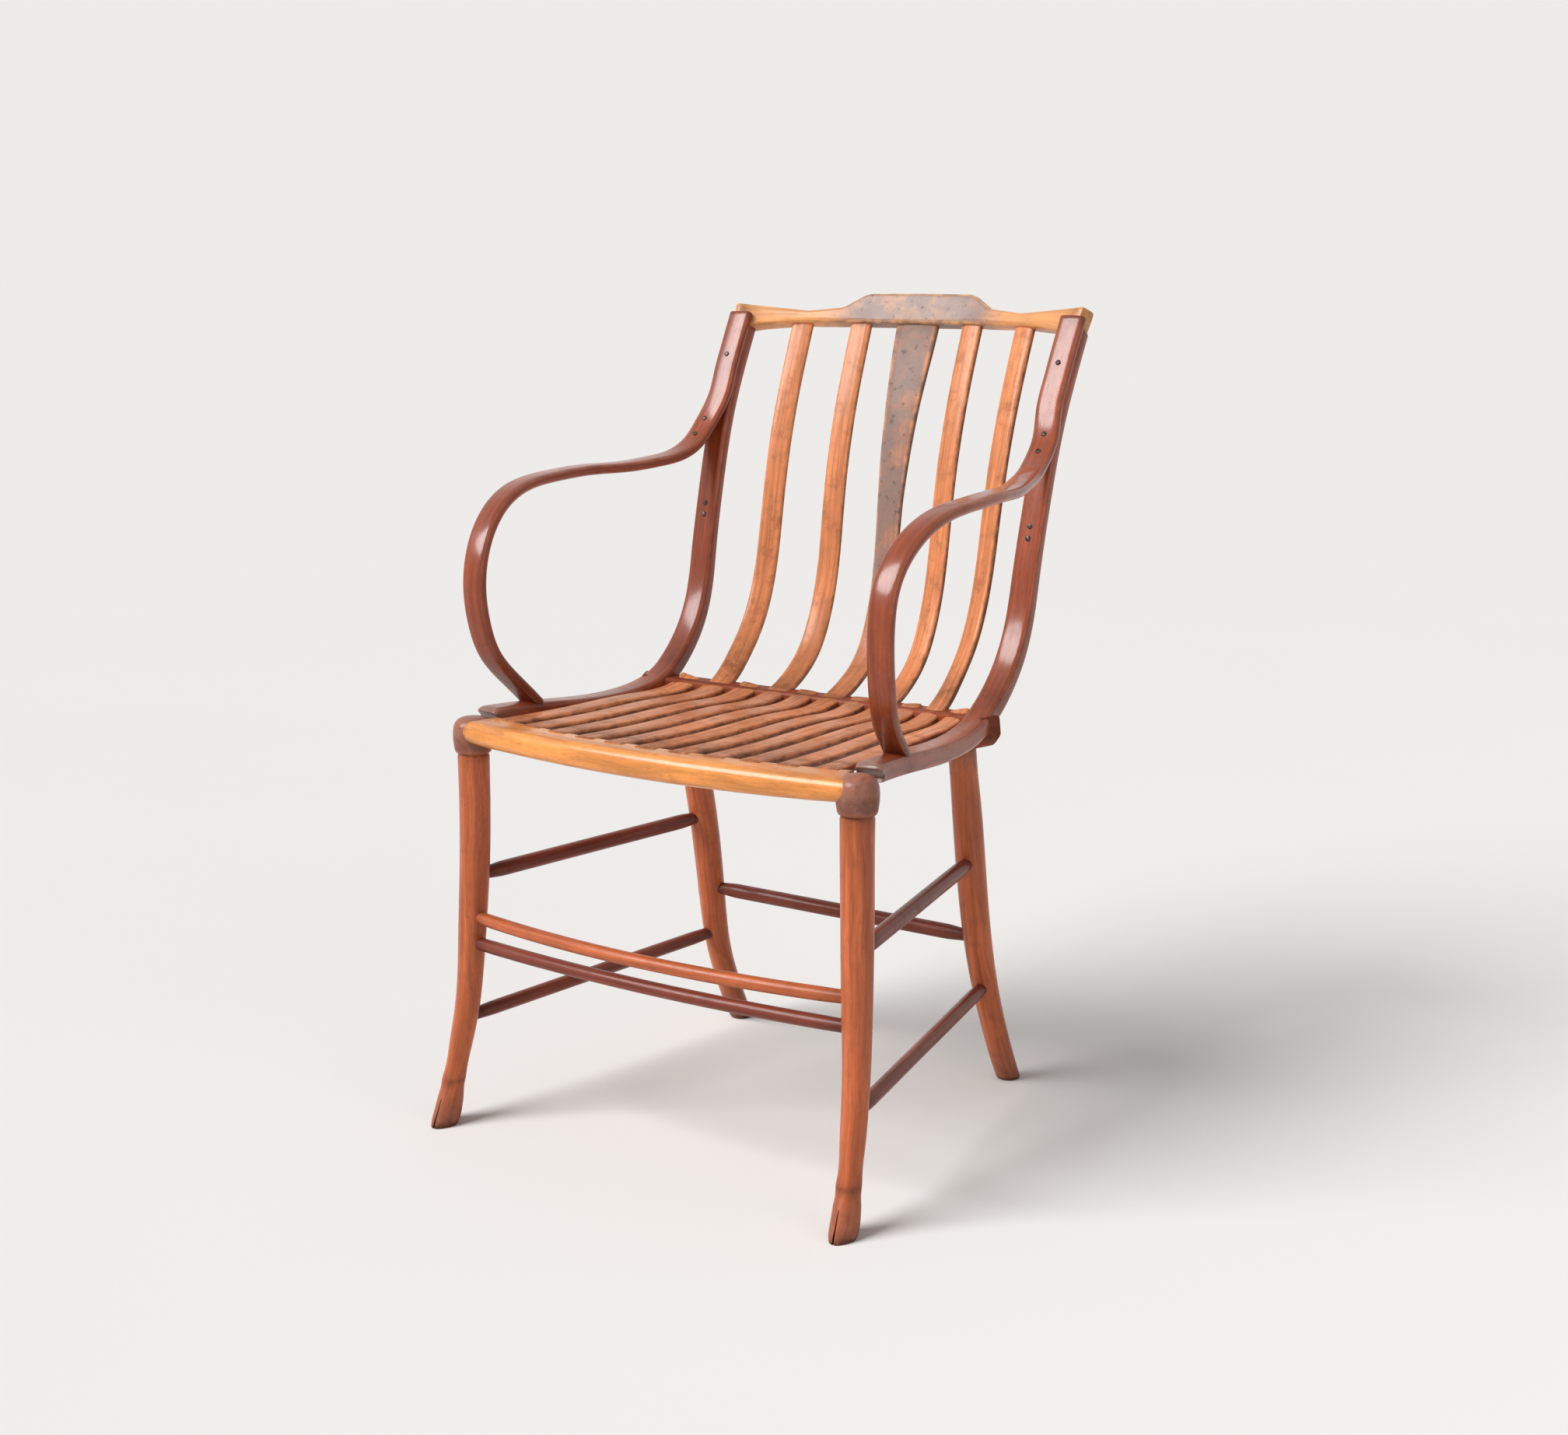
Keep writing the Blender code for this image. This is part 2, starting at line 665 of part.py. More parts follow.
def crest_rail(slat_cutter):
    """A bowed bar between two outlines, leaning with the back; returned with its own cutter."""
    shares = np.array([key[0] for key in CREST_TOP])
    shares = np.sort([*shares, *(shares[1:] + shares[:-1]) / 2])
    shares = np.concatenate([-shares[:0:-1], shares])
    x = shares * CREST_HALF
    centre, edge = CENTRE_LINE[-1][0], EDGE_LINE[-1][0]
    middle = edge + (centre - edge) * (1 - (x / TOP_HALF) ** 2)
    face = middle + (SLAT_THICK - CREST_THICK) / 2 / math.cos(CREST_LEAN)
    edges = []
    for keys in (CREST_LOW, CREST_TOP):
        height = outline(keys, np.abs(shares))
        edges.append(np.stack([x, face + height * math.tan(CREST_LEAN), rise(1.0) + height], axis=1))
    crest = strips("crest_rail", [edges], CREST_THICK, (0, -1, 0), CREST_ROUND, "worn")
    cut(crest, slat_cutter)
    grown = edges[0] + [0, -2 * GAP, -2 * GAP], edges[1] + [0, -2 * GAP, 0]
    cutter = strips("crest_cutter", [grown], CREST_THICK + 4 * GAP, (0, -1, 0))
    return crest, cutter


def arm_line(line):
    """The right arm's outer face: down the stile from the crest, forward, round the loop to the rail."""
    stile = line[line[:, 1] > TURN_Y]
    lying = stile[stile[:, 2] > SEAT_Z + ARM_LIES * ARM_RISE]
    lying = lying + across(tangents(lying), level(lying))[1] * (ARM_THICK + GAP)
    over = lying[-1] + tangents(lying)[-1] * ARM_OVER_CREST
    keys = [over, *lying[::-1][:: len(lying) // 3]]
    for ahead, share, out in ARM_LEAVES:
        z = SEAT_Z + share * ARM_RISE
        y = np.interp(z, stile[:, 2], stile[:, 1]) - ahead
        keys.append((side_at(y) + out, y, z))
    for y, share, out in ARM_LINE:
        keys.append((side_at(y) + out, y, SEAT_Z + share * ARM_RISE))
    for y, above, out in ARM_LANDS:
        keys.append((side_at(y) + out, y, np.interp(y, line[:, 1], line[:, 2]) + above))
    return smooth_line(keys)


def arm_foot(line, side):
    """The point on the seat rail's face where the arm's peg goes in."""
    y = ARM_LANDS[-1][0] - ARM_PEG_AHEAD
    return mirrored(line[np.argmin(np.abs(line[:, 1] - y))], side)


def arm(word, side, line):
    """One bent strip, its foot trimmed to the seat rail and pegged into it; returned with its own cutter."""
    points = arm_line(line)
    points = mirrored(points[pick(points, ARM_STATIONS)], side)
    gone = np.concatenate([[0.0], np.cumsum(np.linalg.norm(np.diff(points, axis=0), axis=1))])
    share = np.clip(gone / gone[-1] / 0.45, 0, 1)
    half = (ARM_WIDE_TOP + (ARM_WIDE_LOOP - ARM_WIDE_TOP) * share) / 2
    edges = band(points, level(points), half)
    made = strips("arm_" + word, [edges], ARM_THICK, (0, -1, 0), ARM_ROUND, "varnish")
    rail = mirrored(line[pick(line, SIDE_STATIONS)], side)
    over = band(rail, level(rail), RAIL_WIDE / 2 + GAP, lift=GAP)
    cut(made, strips("rail_cutter_" + word, [over], STILE_THICK, (0, 0, 1)))
    foot = arm_foot(line, side)
    peg = (foot + [0, 0, ARM_PEG_AHEAD], foot - [0, 0, ARM_PEG], ARM_PEG_R)
    combine(made, bars("arm_peg_" + word, [peg]), "UNION")
    grown = band(points, level(points), half + GAP)
    return made, strips("arm_cutter_" + word, [grown], ARM_THICK + GAP, (0, -1, 0))


def stile_tenon(word, side, line):
    """The tenon on the stile's upper end, and the cutter of its mortise in the crest."""
    tip, up = mirrored(line[-1], side), tangents(line)[-1] * [0, 1, 1]
    normal = np.array([0, -up[2], up[1]])
    root = tip - normal * (STILE_THICK / 4) - up * STILE_TENON_ROOT
    ends = np.array([root, root + up * (STILE_TENON_ROOT + STILE_TENON)])
    half = RAIL_WIDE * STILE_TENON_SHARE / 2
    tenon = strips("stile_tenon_" + word, [band(ends, level(ends), half)], STILE_THICK / 2, (0, -1, 0))
    ends = ends + normal * GAP + up * np.array([[0.0], [GAP]])
    edges = band(ends, level(ends), half + GAP)
    return tenon, strips("stile_mortise_" + word, [edges], STILE_THICK / 2 + 2 * GAP, (0, -1, 0))


def leg_ring(centre, radius, lean=(0, 0), sides=LEG_SIDES, toe=0.0):
    """A level ring round a leaning leg; a hoof's ring reaches forward to its toe."""
    angle = (np.arange(sides) + 0.5) * 2 * math.pi / sides
    front = np.clip(-np.sin(angle), 0, 1)
    x = np.cos(angle) * radius * math.hypot(1, lean[0])
    y = np.sin(angle) * radius * math.hypot(1, lean[1]) - toe * front**2
    return np.stack([centre[0] + x, centre[1] + y, np.full(sides, centre[2])], axis=1)


def leg_axis(keys, top, height, forward):
    """Points up a leg: forward is -1 for legs that sweep to the front and +1 to the back."""
    points = [(top[0] + out, top[1] + forward * sweep, share * height) for share, sweep, out, _ in keys]
    return np.array(points)


def leg_lean(axis):
    return np.gradient(axis[:, :2], axis[:, 2], axis=0)


def axis_at(axis, z):
    return np.array([np.interp(z, axis[:, 2], axis[:, k]) for k in range(3)])


def knob_rings(side, keys, grown=0.0):
    """Rings of the knob on a front leg, through the given part of its outline."""
    top = (side * float(side_at(FRONT_LEG_Y)), FRONT_LEG_Y)
    return [leg_ring((*top, SEAT_Z - KNOB_BELOW + up), radius + grown) for up, radius in keys]


def knob_cutter(name, side):
    """The knob grown by the gap, and carried on straight up from under its cap."""
    keys = KNOB[:KNOB_CAP]
    return loft(name, knob_rings(side, [*keys, (keys[-1][0] + 2 * SOCKET_CLEAR, keys[-1][1])], 1.1 * GAP))


def front_leg(word, side, line):
    """A round sabre leg on a hoof, with a knob on top that has sockets for both rails."""
    top = (float(side_at(FRONT_LEG_Y)), FRONT_LEG_Y)
    axis = leg_axis(FRONT_LEG, top, SEAT_Z - KNOB_BELOW, -1)
    rings = []
    for key, middle, lean in zip(FRONT_LEG, axis, leg_lean(axis)):
        toe = HOOF_TOE * max(0.0, 1 - middle[2] / HOOF_TALL)
        rings.append(mirrored(leg_ring(middle, key[3], lean * (middle[2] > HOOF_TALL), toe=toe), side))
    rings += [mirrored(ring, side) for ring in knob_rings(1, KNOB)]
    leg = loft("front_leg_" + word, rings, "leg")
    axis = mirrored(axis, side)
    cut(leg, hoof_cleft(word, axis[0]))
    cut(leg, knob_notch(word, side))
    ends = front_tenon(side, -FRONT_TENON_ROOT), front_tenon(side, FRONT_TENON + GAP)
    sockets = [(*ends, FRONT_TENON_R + 1.5 * GAP)]
    ends = rail_tenon(side, line, -SOCKET_CLEAR), rail_tenon(side, line, RAIL_TENON + GAP)
    sockets.append((*ends, RAIL_TENON_R + 1.5 * GAP))
    cut(leg, bars("knob_sockets_" + word, sockets))
    return leg, axis


def hoof_cleft(word, foot):
    """A wedge up the front of a hoof, with its point inwards."""
    toe = foot - [0, FRONT_LEG[0][3] + HOOF_TOE + HOOF_CLEFT, HOOF_CLEFT]
    half = np.array([HOOF_CLEFT / 2, 0, 0])
    low = np.array([toe - half, toe + half, foot - [0, HOOF_CLEFT, HOOF_CLEFT]])
    return loft("hoof_cleft_" + word, [low, low + [0, HOOF_CLEFT_LEAN, HOOF_CLEFT_TALL]])


def rear_leg(word, side):
    """A round leg that sweeps back, tenoned into the rear rail."""
    top = (REAR_LEG_X, rear_rail_line(REAR_LEG_X)[1] + REAR_LEG_SET)
    height = rear_rail_line(REAR_LEG_X)[2] - REAR_RAIL_TALL
    axis = leg_axis(REAR_LEG, top, height, 1)
    rings = []
    for key, middle, lean in zip(REAR_LEG, axis, leg_lean(axis)):
        rings.append(leg_ring(middle, key[3], lean, REAR_LEG_SIDES))
    for radius, lift in ((REAR_LEG[-1][3], 0.0), (REAR_TENON_R, 0.0), (REAR_TENON_R, REAR_TENON)):
        ring = leg_ring((*top, 0), radius, sides=REAR_LEG_SIDES)
        ring[:, 2] = rear_rail_line(ring[:, 0])[:, 2] - REAR_RAIL_TALL - GAP + lift
        rings.append(ring)
    leg = loft("rear_leg_" + word, [mirrored(ring, side) for ring in rings], "leg")
    return leg, mirrored(axis, side)


def stretcher(name, sizes, first, second):
    """A rod between two leg axes, thin at its ends; returns the bars that cut its sockets."""
    low, high, radius, bow = sizes
    start, end = axis_at(first, low), axis_at(second, high)
    share = np.linspace(0, 1, 241)
    line = start + share[:, None] * (end - start) - np.outer(4 * share * (1 - share) * bow, [0, 1, 0])
    gone = np.linalg.norm(line - line[0], axis=1)
    left = np.linalg.norm(line - line[-1], axis=1)
    line = line[(gone >= STRETCHER_IN) & (left >= STRETCHER_IN)]
    stops = np.array([0, 0.045, 0.10, 0.18, 0.30, 0.42] if bow else [0, 0.045, 0.12, 0.22])
    stops = np.concatenate([stops, 1 - stops[::-1]])
    points = line[(stops * (len(line) - 1)).round().astype(int)]
    near = np.minimum(stops, 1 - stops) * np.linalg.norm(end - start)
    near = np.clip(1.33 * near / STRETCHER_TAPER - 0.35, 0, 1)
    radii = STRETCHER_END_R + (radius - STRETCHER_END_R) * near * near * (3 - 2 * near)
    rod(name, points, radii, STRETCHER_SIDES, "turned")
    sockets = []
    for a, b in ((points[0], points[1]), (points[-1], points[-2])):
        out = (b - a) / np.linalg.norm(b - a)
        sockets.append((a - out * GAP, a + out * 3 * SOCKET_CLEAR, STRETCHER_END_R + 1.5 * GAP))
    return sockets


def stretchers(legs):
    """The seven stretchers, and their sockets in the legs."""
    holes = {key: [] for key in legs}
    spans = [("rear_stretcher", REAR_ONLY, ("rear", "left"), ("rear", "right"))]
    for word, _ in SIDES:
        for place, sizes in (("upper", SIDE_UPPER), ("lower", SIDE_LOWER)):
            spans.append((f"side_stretcher_{place}_{word}", sizes, ("front", word), ("rear", word)))
    for place, sizes in (("upper", FRONT_UPPER), ("lower", FRONT_LOWER)):
        spans.append((f"front_stretcher_{place}", sizes, ("front", "left"), ("front", "right")))
    for name, sizes, first, second in spans:
        sockets = stretcher(name, sizes, legs[first][1], legs[second][1])
        holes[first].append(sockets[0])
        holes[second].append(sockets[1])
    for (end, word), sockets in holes.items():
        cut(legs[end, word][0], bars(f"{end}_leg_sockets_{word}", sockets))


def rail_joints(word, side, line, rail, rear):
    """The side rail's fit to the knob and its socket for the arm; the rear rail's socket for the leg."""
    cut(rail, knob_cutter("rail_knob_cutter_" + word, side))
    ends = rail_tenon(side, line, -RAIL_TENON_ROOT), rail_tenon(side, line, RAIL_TENON)
    combine(rail, bars("rail_tenon_" + word, [(*ends, RAIL_TENON_R)]), "UNION")
    peg = arm_foot(line, side)
    peg = (peg - [0, 0, ARM_PEG + GAP], peg + [0, 0, SOCKET_CLEAR], ARM_PEG_R + 1.5 * GAP)
    cut(rail, bars("arm_socket_" + word, [peg]))
    under = rear_rail_line(side * REAR_LEG_X) + [0, REAR_LEG_SET, -REAR_RAIL_TALL]
    socket = (under - [0, 0, SOCKET_CLEAR], under + [0, 0, REAR_TENON + 3 * GAP], REAR_TENON_R + 1.5 * GAP)
    cut(rear, bars("rear_socket_" + word, [socket]))


def centre():
    """Puts the origin on the floor at the middle of the chair's depth, under one empty."""
    bpy.context.view_layer.update()
    graph = bpy.context.evaluated_depsgraph_get()
    depths = [corner[1] for obj in PARTS.objects for corner in obj.evaluated_get(graph).bound_box]
    pieces = [*PARTS.objects, *TOOLS.objects]
    root = bpy.data.objects.new("armchair", None)
    PARTS.objects.link(root)
    root.location.y = -(min(depths) + max(depths)) / 2
    for obj in pieces:
        obj.parent = root


def build():
    line = side_line()
    slat_cutter = slats()
    front_seat_rail(slat_cutter)
    rear, rear_cutter = rear_seat_rail(slat_cutter)
    crest, crest_cutter = crest_rail(slat_cutter)
    legs = {}
    for word, side in SIDES:
        rail = side_member(word, side, line)
        _, arm_cutter = arm(word, side, line)
        tenon, mortise = stile_tenon(word, side, line)
        cut(crest, arm_cutter)
        cut(crest, mortise)
        cut(rail, crest_cutter)
        combine(rail, tenon, "UNION")
        cut(rail, rear_cutter)
        rail_joints(word, side, line, rail, rear)
        legs["front", word] = front_leg(word, side, line)
        legs["rear", word] = rear_leg(word, side)
    stretchers(legs)
    centre()


build()
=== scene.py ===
"""Bentwood armchair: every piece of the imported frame, made smooth and finished in old varnished wood.

Metres, +Z up; the sitter faces -Y, and left and right are the viewer's in front of the chair. Each strip and
rod is made as on a bench: a straight blank is sawn or turned and its edges are rounded, then it is bent to
its line. The blank's own coordinates stay on the piece as an attribute, so the grain follows every bend.
"""

import math

import bmesh
import bpy
import numpy as np
from mathutils import Matrix, Vector


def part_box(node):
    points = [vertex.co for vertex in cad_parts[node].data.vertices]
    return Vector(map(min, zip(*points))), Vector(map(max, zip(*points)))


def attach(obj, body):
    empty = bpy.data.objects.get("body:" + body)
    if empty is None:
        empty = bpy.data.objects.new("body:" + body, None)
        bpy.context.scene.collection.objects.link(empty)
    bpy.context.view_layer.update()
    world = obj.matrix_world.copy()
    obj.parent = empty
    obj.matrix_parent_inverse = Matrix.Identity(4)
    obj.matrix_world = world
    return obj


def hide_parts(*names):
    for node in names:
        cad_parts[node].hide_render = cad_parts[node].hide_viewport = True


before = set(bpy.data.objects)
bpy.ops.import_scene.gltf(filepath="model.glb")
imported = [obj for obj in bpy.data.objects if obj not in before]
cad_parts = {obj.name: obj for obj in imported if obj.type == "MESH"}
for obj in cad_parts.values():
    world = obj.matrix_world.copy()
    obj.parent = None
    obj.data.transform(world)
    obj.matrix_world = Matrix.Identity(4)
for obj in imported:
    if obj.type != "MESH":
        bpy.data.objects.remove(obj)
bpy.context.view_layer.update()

bl_info = {
    "name": "Bentwood Armchair",
    "version": (1, 0, 0),
    "blender": (4, 5, 0),
    "location": "3D View > Sidebar > Armchair",
    "description": "Models a slatted bentwood armchair in old varnished wood",
    "category": "Add Mesh",
}

SIDES = (("left", -1), ("right", 1))

# Seat and back, as in the frame: heights, the spread of the side members, and their splay to the front.
SEAT_Z = 0.4413
BACK_RISE = 0.4027
REAR_HALF = 0.2110
TOP_HALF = 0.2190
SPLAY = 0.1
TURN_Y = 0.110

# Side member: (y, share of BACK_RISE) along its upper and front face.
SIDE_LINE = (
    (-0.187, 0.0311),
    (-0.100, 0.020),
    (0.010, 0.000),
    (0.083, 0.0166),
    (0.127, 0.0738),
    (0.169, 0.198),
    (0.190, 0.377),
    (0.203, 0.508),
    (0.236, 0.776),
    (0.281, 1.000),
)
RAIL_WIDE = 0.029
RAIL_THICK = 0.019
STILE_THICK = 0.0145
RAIL_START = -0.1690
RAIL_EASE = 0.012
RAIL_DROP = 0.0045
STILE_IN_CREST = 0.006

# Seat and back sheet that the slats follow: (y, share of BACK_RISE) on the middle line and at the sides. The
# splat's widths go by (share of BACK_RISE, width).
CENTRE_LINE = (
    (-0.203, 0.011),
    (-0.090, -0.003),
    (0.050, -0.011),
    (0.150, 0.000),
    (0.2047, 0.0685),
    (0.2306, 0.1538),
    (0.2496, 0.2898),
    (0.2639, 0.5133),
    (0.2886, 0.779),
    (0.3213, 1.000),
)
EDGE_LINE = (
    (-0.168, 0.011),
    (-0.080, 0.006),
    (0.020, 0.004),
    (0.103, 0.026),
    (0.118, 0.0919),
    (0.1501, 0.1696),
    (0.1818, 0.2898),
    (0.2100, 0.5133),
    (0.2440, 0.779),
    (0.2840, 1.000),
)
REAR_STATION = 3
SLATS = 5
SLAT_WIDE = 0.0260
SLAT_EDGE = 0.0063
SLAT_PITCH = (REAR_HALF - RAIL_WIDE / 2 - SLAT_EDGE - SLAT_WIDE / 2) / REAR_HALF / SLATS
SLAT_THICK = 0.0075
SLAT_IN_CREST = 0.010
SLAT_SUNK = 0.0060
SLAT_SHORT = 0.010
SPLAT_EASE = 0.03
SPLAT_WIDTHS = ((0.0, 0.027), (0.30, 0.0285), (0.52, 0.032), (0.78, 0.043), (0.95, 0.053), (1.05, 0.056))

# Front and rear seat rails. The front rail's ends turn at FRONT_END, depths from the front legs, and the
# rear rail is lower at its ends: (distance from the end, share of its height).
FRONT_RAIL_Y = -0.224
FRONT_RAIL_BOW = 0.017
FRONT_RAIL_DEEP = 0.040
FRONT_RAIL_REAR_BOW = 0.026
FRONT_RAIL_TALL = 0.029
FRONT_RAIL_THIN = 0.15
FRONT_RAIL_BELOW = 0.0008
FRONT_END = (-0.028, 0.0125, 0.037)
FRONT_END_OUT = 0.0007
REAR_RAIL_HALF = REAR_HALF + 0.017
REAR_RAIL_DEEP = 0.026
REAR_RAIL_TALL = 0.035
REAR_RAIL_END = ((0.0, 0.66), (0.009, 0.93), (0.018, 1.0))

# Crest: (share of the half length, height above the crest line) along its upper and lower edge.
CREST_HALF = TOP_HALF + 0.008
CREST_THICK = 0.020
CREST_LEAN = math.radians(25)
CREST_TOP = ((0.0, 0.0410), (0.29, 0.0405), (0.415, 0.0250), (0.617, 0.0205), (0.837, 0.0250), (1.0, 0.0290))
CREST_LOW = ((0.0, 0.007), (0.66, 0.007), (0.88, 0.003), (1.0, -0.004))
CREST_EASE = 0.010

# Arm, along its outer face. It leaves the stile by (distance ahead of it, share of ARM_RISE, distance
# outside the seat rail's line), goes on by (y, share, distance outside) and lands by (y, height above the
# rail, distance outside). From the top it narrows over a share of its length.
ARM_RISE = 0.2527
ARM_LEAVES = (
    (0.0175, 1.170, 0.0125),
    (0.0324, 1.087, 0.0150),
)
ARM_LINE = (
    (0.1636, 1.038, 0.0200),
    (0.1337, 1.018, 0.0276),
    (0.094, 1.004, 0.0370),
    (0.040, 1.004, 0.0420),
    (-0.020, 0.994, 0.0395),
    (-0.0966, 0.946, 0.0285),
    (-0.1365, 0.8536, 0.0200),
    (-0.1612, 0.723, 0.0142),
    (-0.1702, 0.5687, 0.0126),
    (-0.1668, 0.4009, 0.0112),
    (-0.154, 0.248, 0.0080),
    (-0.133, 0.139, 0.0027),
)
ARM_LANDS = (
    (-0.112, 0.0051, 0.0000),
    (-0.101, -0.0056, -0.0010),
)
ARM_LIES = 1.275
ARM_OVER_CREST = 0.016
ARM_WIDE_TOP = 0.030
ARM_WIDE_LOOP = 0.0285
ARM_NARROWS = 0.45
ARM_THICK = 0.0098
ARM_GAP = 0.0003

# Front legs: (share of the shaft's height, forward of the top, outward of the top, radius); the knob that
# ends the shaft: (height above the shaft, radius); the hoof and its cleft, whose depth is a share of the
# foot's reach, and its section at the top a share of that at the floor.
FRONT_LEG_Y = -0.187
FRONT_LEG = (
    (0.000, 0.0456, 0.0155, 0.0126),
    (0.010, 0.0440, 0.0153, 0.0138),
    (0.039, 0.0400, 0.0148, 0.0142),
    (0.074, 0.0365, 0.0142, 0.0136),
    (0.101, 0.0340, 0.0137, 0.0125),
    (0.118, 0.0325, 0.0133, 0.0127),
    (0.137, 0.0302, 0.0128, 0.0121),
    (0.209, 0.0224, 0.0108, 0.0125),
    (0.299, 0.0142, 0.0082, 0.0134),
    (0.405, 0.0084, 0.0062, 0.0142),
    (0.511, 0.0056, 0.0045, 0.0152),
    (0.626, 0.0029, 0.0027, 0.0160),
    (0.761, 0.0005, 0.0010, 0.0165),
    (0.908, 0.0000, 0.0000, 0.0168),
    (0.992, 0.0000, 0.0000, 0.0170),
)
KNOB_BELOW = 0.0338
KNOB = (
    (0.0000, 0.0158),
    (0.0012, 0.0183),
    (0.0060, 0.0200),
    (0.0125, 0.0209),
    (0.0195, 0.0212),
    (0.0265, 0.0208),
    (0.0320, 0.0192),
    (0.0360, 0.0160),
    (0.0385, 0.0110),
    (0.0394, 0.0055),
    (0.0396, 0.0000),
)
HOOF_TALL = 0.048
HOOF_TOE = 0.0070
HOOF_CLEFT = 0.0034
HOOF_CLEFT_TALL = 0.0345
HOOF_CLEFT_DEEP = 0.72
HOOF_CLEFT_TOP = 0.62
HOOF_CLEFT_OFF = 0.0002
FRONT_LEG_SIDES = 48

# Rear legs: (share of the height, back of the top, outward of the top, radius). Above its last point each
# leg's sweep dies out, and the edge of each foot is taken off a little, in and up.
REAR_LEG_X = REAR_RAIL_HALF - 0.045
REAR_LEG_SET = 0.001
REAR_LEG = (
    (0.000, 0.1165, 0.0045, 0.0130),
    (0.072, 0.1000, 0.0043, 0.0136),
    (0.144, 0.0855, 0.0040, 0.0139),
    (0.216, 0.0725, 0.0035, 0.0141),
    (0.300, 0.0605, 0.0020, 0.0147),
    (0.439, 0.0470, -0.0010, 0.0157),
    (0.648, 0.0310, -0.0025, 0.0165),
    (0.816, 0.0170, -0.0012, 0.0162),
    (0.924, 0.0070, -0.0004, 0.0152),
)
LEG_IN_RAIL = 0.006
REAR_LEG_SIDES = 40
LEG_TOP_EASE = 0.02
FOOT_EDGE_IN = 0.0012
FOOT_EDGE_UP = 0.0006

# Stretchers: height at the front or left leg, height at the other leg, radius in the middle, bow forward.
# Their ends keep one radius, and swell to the middle's in about the length of the taper.
SIDE_UPPER = (0.272, 0.276, 0.0085, 0.0)
SIDE_LOWER = (0.1145, 0.126, 0.0078, 0.0)
FRONT_UPPER = (0.2275, 0.2275, 0.0073, 0.026)
FRONT_LOWER = (0.1985, 0.1985, 0.0073, 0.017)
REAR_ONLY = (0.1852, 0.1852, 0.0086, 0.0)
STRETCHER_END_R = 0.0069
STRETCHER_TAPER = 0.035
STRETCHER_TAPER_RATE = 1.33
STRETCHER_TAPER_START = 0.35
STRETCHER_STOPS = 64
STRETCHER_SIDES = 24
STRETCHER_IN = 0.0035

# Screws: heights over the floor on the face of each arm, and on each stile below the arm.
ARM_SCREWS = (0.813, 0.738, 0.721)
STILE_SCREWS = (0.641, 0.628)
# A screw's head in shares of its radius: its rounding, and the length, width and height of the cutter for
# its slot. The slots turn from screw to screw, in radians.
SCREW_SIDES = 28
SCREW_ROUND = 0.42
SCREW_SLOT = (3.0, 0.30, 0.5)
SCREW_TURN = 0.7
SCREW_NEXT_TURN = 1.9

# Dirt, and painted shade where noted: (distance along the piece, reach) of a spot, or the reach alone at
# an end or a joint. The slats near the middle have the larger stain. The rails have a least weight, and the
# soles of the feet (weight, reach).
END_SOIL = 0.012
STILE_SOIL = ((0.068, 0.016), (0.298, 0.03))
STILE_SOIL_WEIGHT = 0.8
# The arm's foot: joint dirt, and painted shade up the lower, down-facing part of the loop.
ARM_FOOT_SOIL_AND_SHADE = 0.10
ARM_TOP_SOIL = 0.008
SLAT_SOIL = ((0.0, 0.022), (0.345, 0.03), (0.82, 0.012))
SLAT_STAIN = (0.03, 0.04)
SLAT_STAIN_SMALL = (0.03, 0.01)
STAINED_SLATS = 3
FRONT_RAIL_SOIL = 0.12
# The rear rail all along: dirt and painted shade under the slats.
REAR_RAIL_SOIL_AND_SHADE = 0.55
CREST_SOIL = (0.012, 0.010)
STRETCHER_SOIL = (0.012, 0.012)
# Feet darken towards the floor with dirt and painted contact shadow; the other joints get dirt.
FRONT_FOOT_SOIL_AND_SHADE = 0.022
HOOF_TOP_SOIL = 0.005
KNOB_FOOT_SOIL = 0.006
REAR_FOOT_SOIL_AND_SHADE = 0.028
REAR_LEG_TOP_SOIL = 0.012
# The soles: dirt and painted contact shadow, strongest at the floor.
UNDER_FOOT_SOIL_AND_SHADE = (2.6, 0.005)

# Bare wood: its weight; the splat is all bare from a share of BACK_RISE up, and the crest's tablet out to a
# share of the crest's half length, less the fade. The knobs are partly bare, and darker below a height
# above the shaft.
STILE_END_BARE = 0.9
STILE_END_BARE_REACH = 0.018
SPLAT_BARE_FROM = 0.35
TABLET_BARE_END = 0.56
TABLET_BARE_FADE = 0.2
CREST_LEAST_BARE = 0.08
KNOB_BARE = 0.55
KNOB_EDGE = 0.006
KNOB_DARK_TOP = 0.026
KNOB_DARK_FADE = 0.012
KNOB_DARK = (0.3, 0.85)
FOOT_BARE = 0.3

# Meshes: points along a line, the angle below which faces are shaded as one, and how far apart in the plank
# the blanks lie.
LINE_POINTS = 241
SMOOTH_BELOW = math.radians(38)
PLANK_STEP = 2.7

# The lines below are drawn with the front rail at FRONT_RAIL_Y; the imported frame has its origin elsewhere.
FRAME_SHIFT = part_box("front_seat_rail")[0].y - FRONT_RAIL_Y

# Camera of the photograph, 2016 by 1845 pixels, aimed past a point in the middle of the chair.
CAMERA_AZIMUTH = math.radians(33.822)
CAMERA_ELEVATION = math.radians(11.734)
CAMERA_DISTANCE = 2.313
CAMERA_LENS = 49.61
CAMERA_AIM_Z = 0.450
CAMERA_RIGHT = 0.02653
CAMERA_UP = -0.00869
CAMERA_SENSOR = 36.0
CAMERA_SEES = 100.0

# Floor, lamps and sky.
FLOOR_SIZE = 60.0
KEY_PLACE = (-1.61, -2.47, 2.99)
KEY_ANGLE = math.radians(33)
FILL_PLACE = (2.9, -0.9, 1.5)
FILL_SIZE = 1.8
SKY_TINT = (1.0, 0.985, 0.97, 1.0)


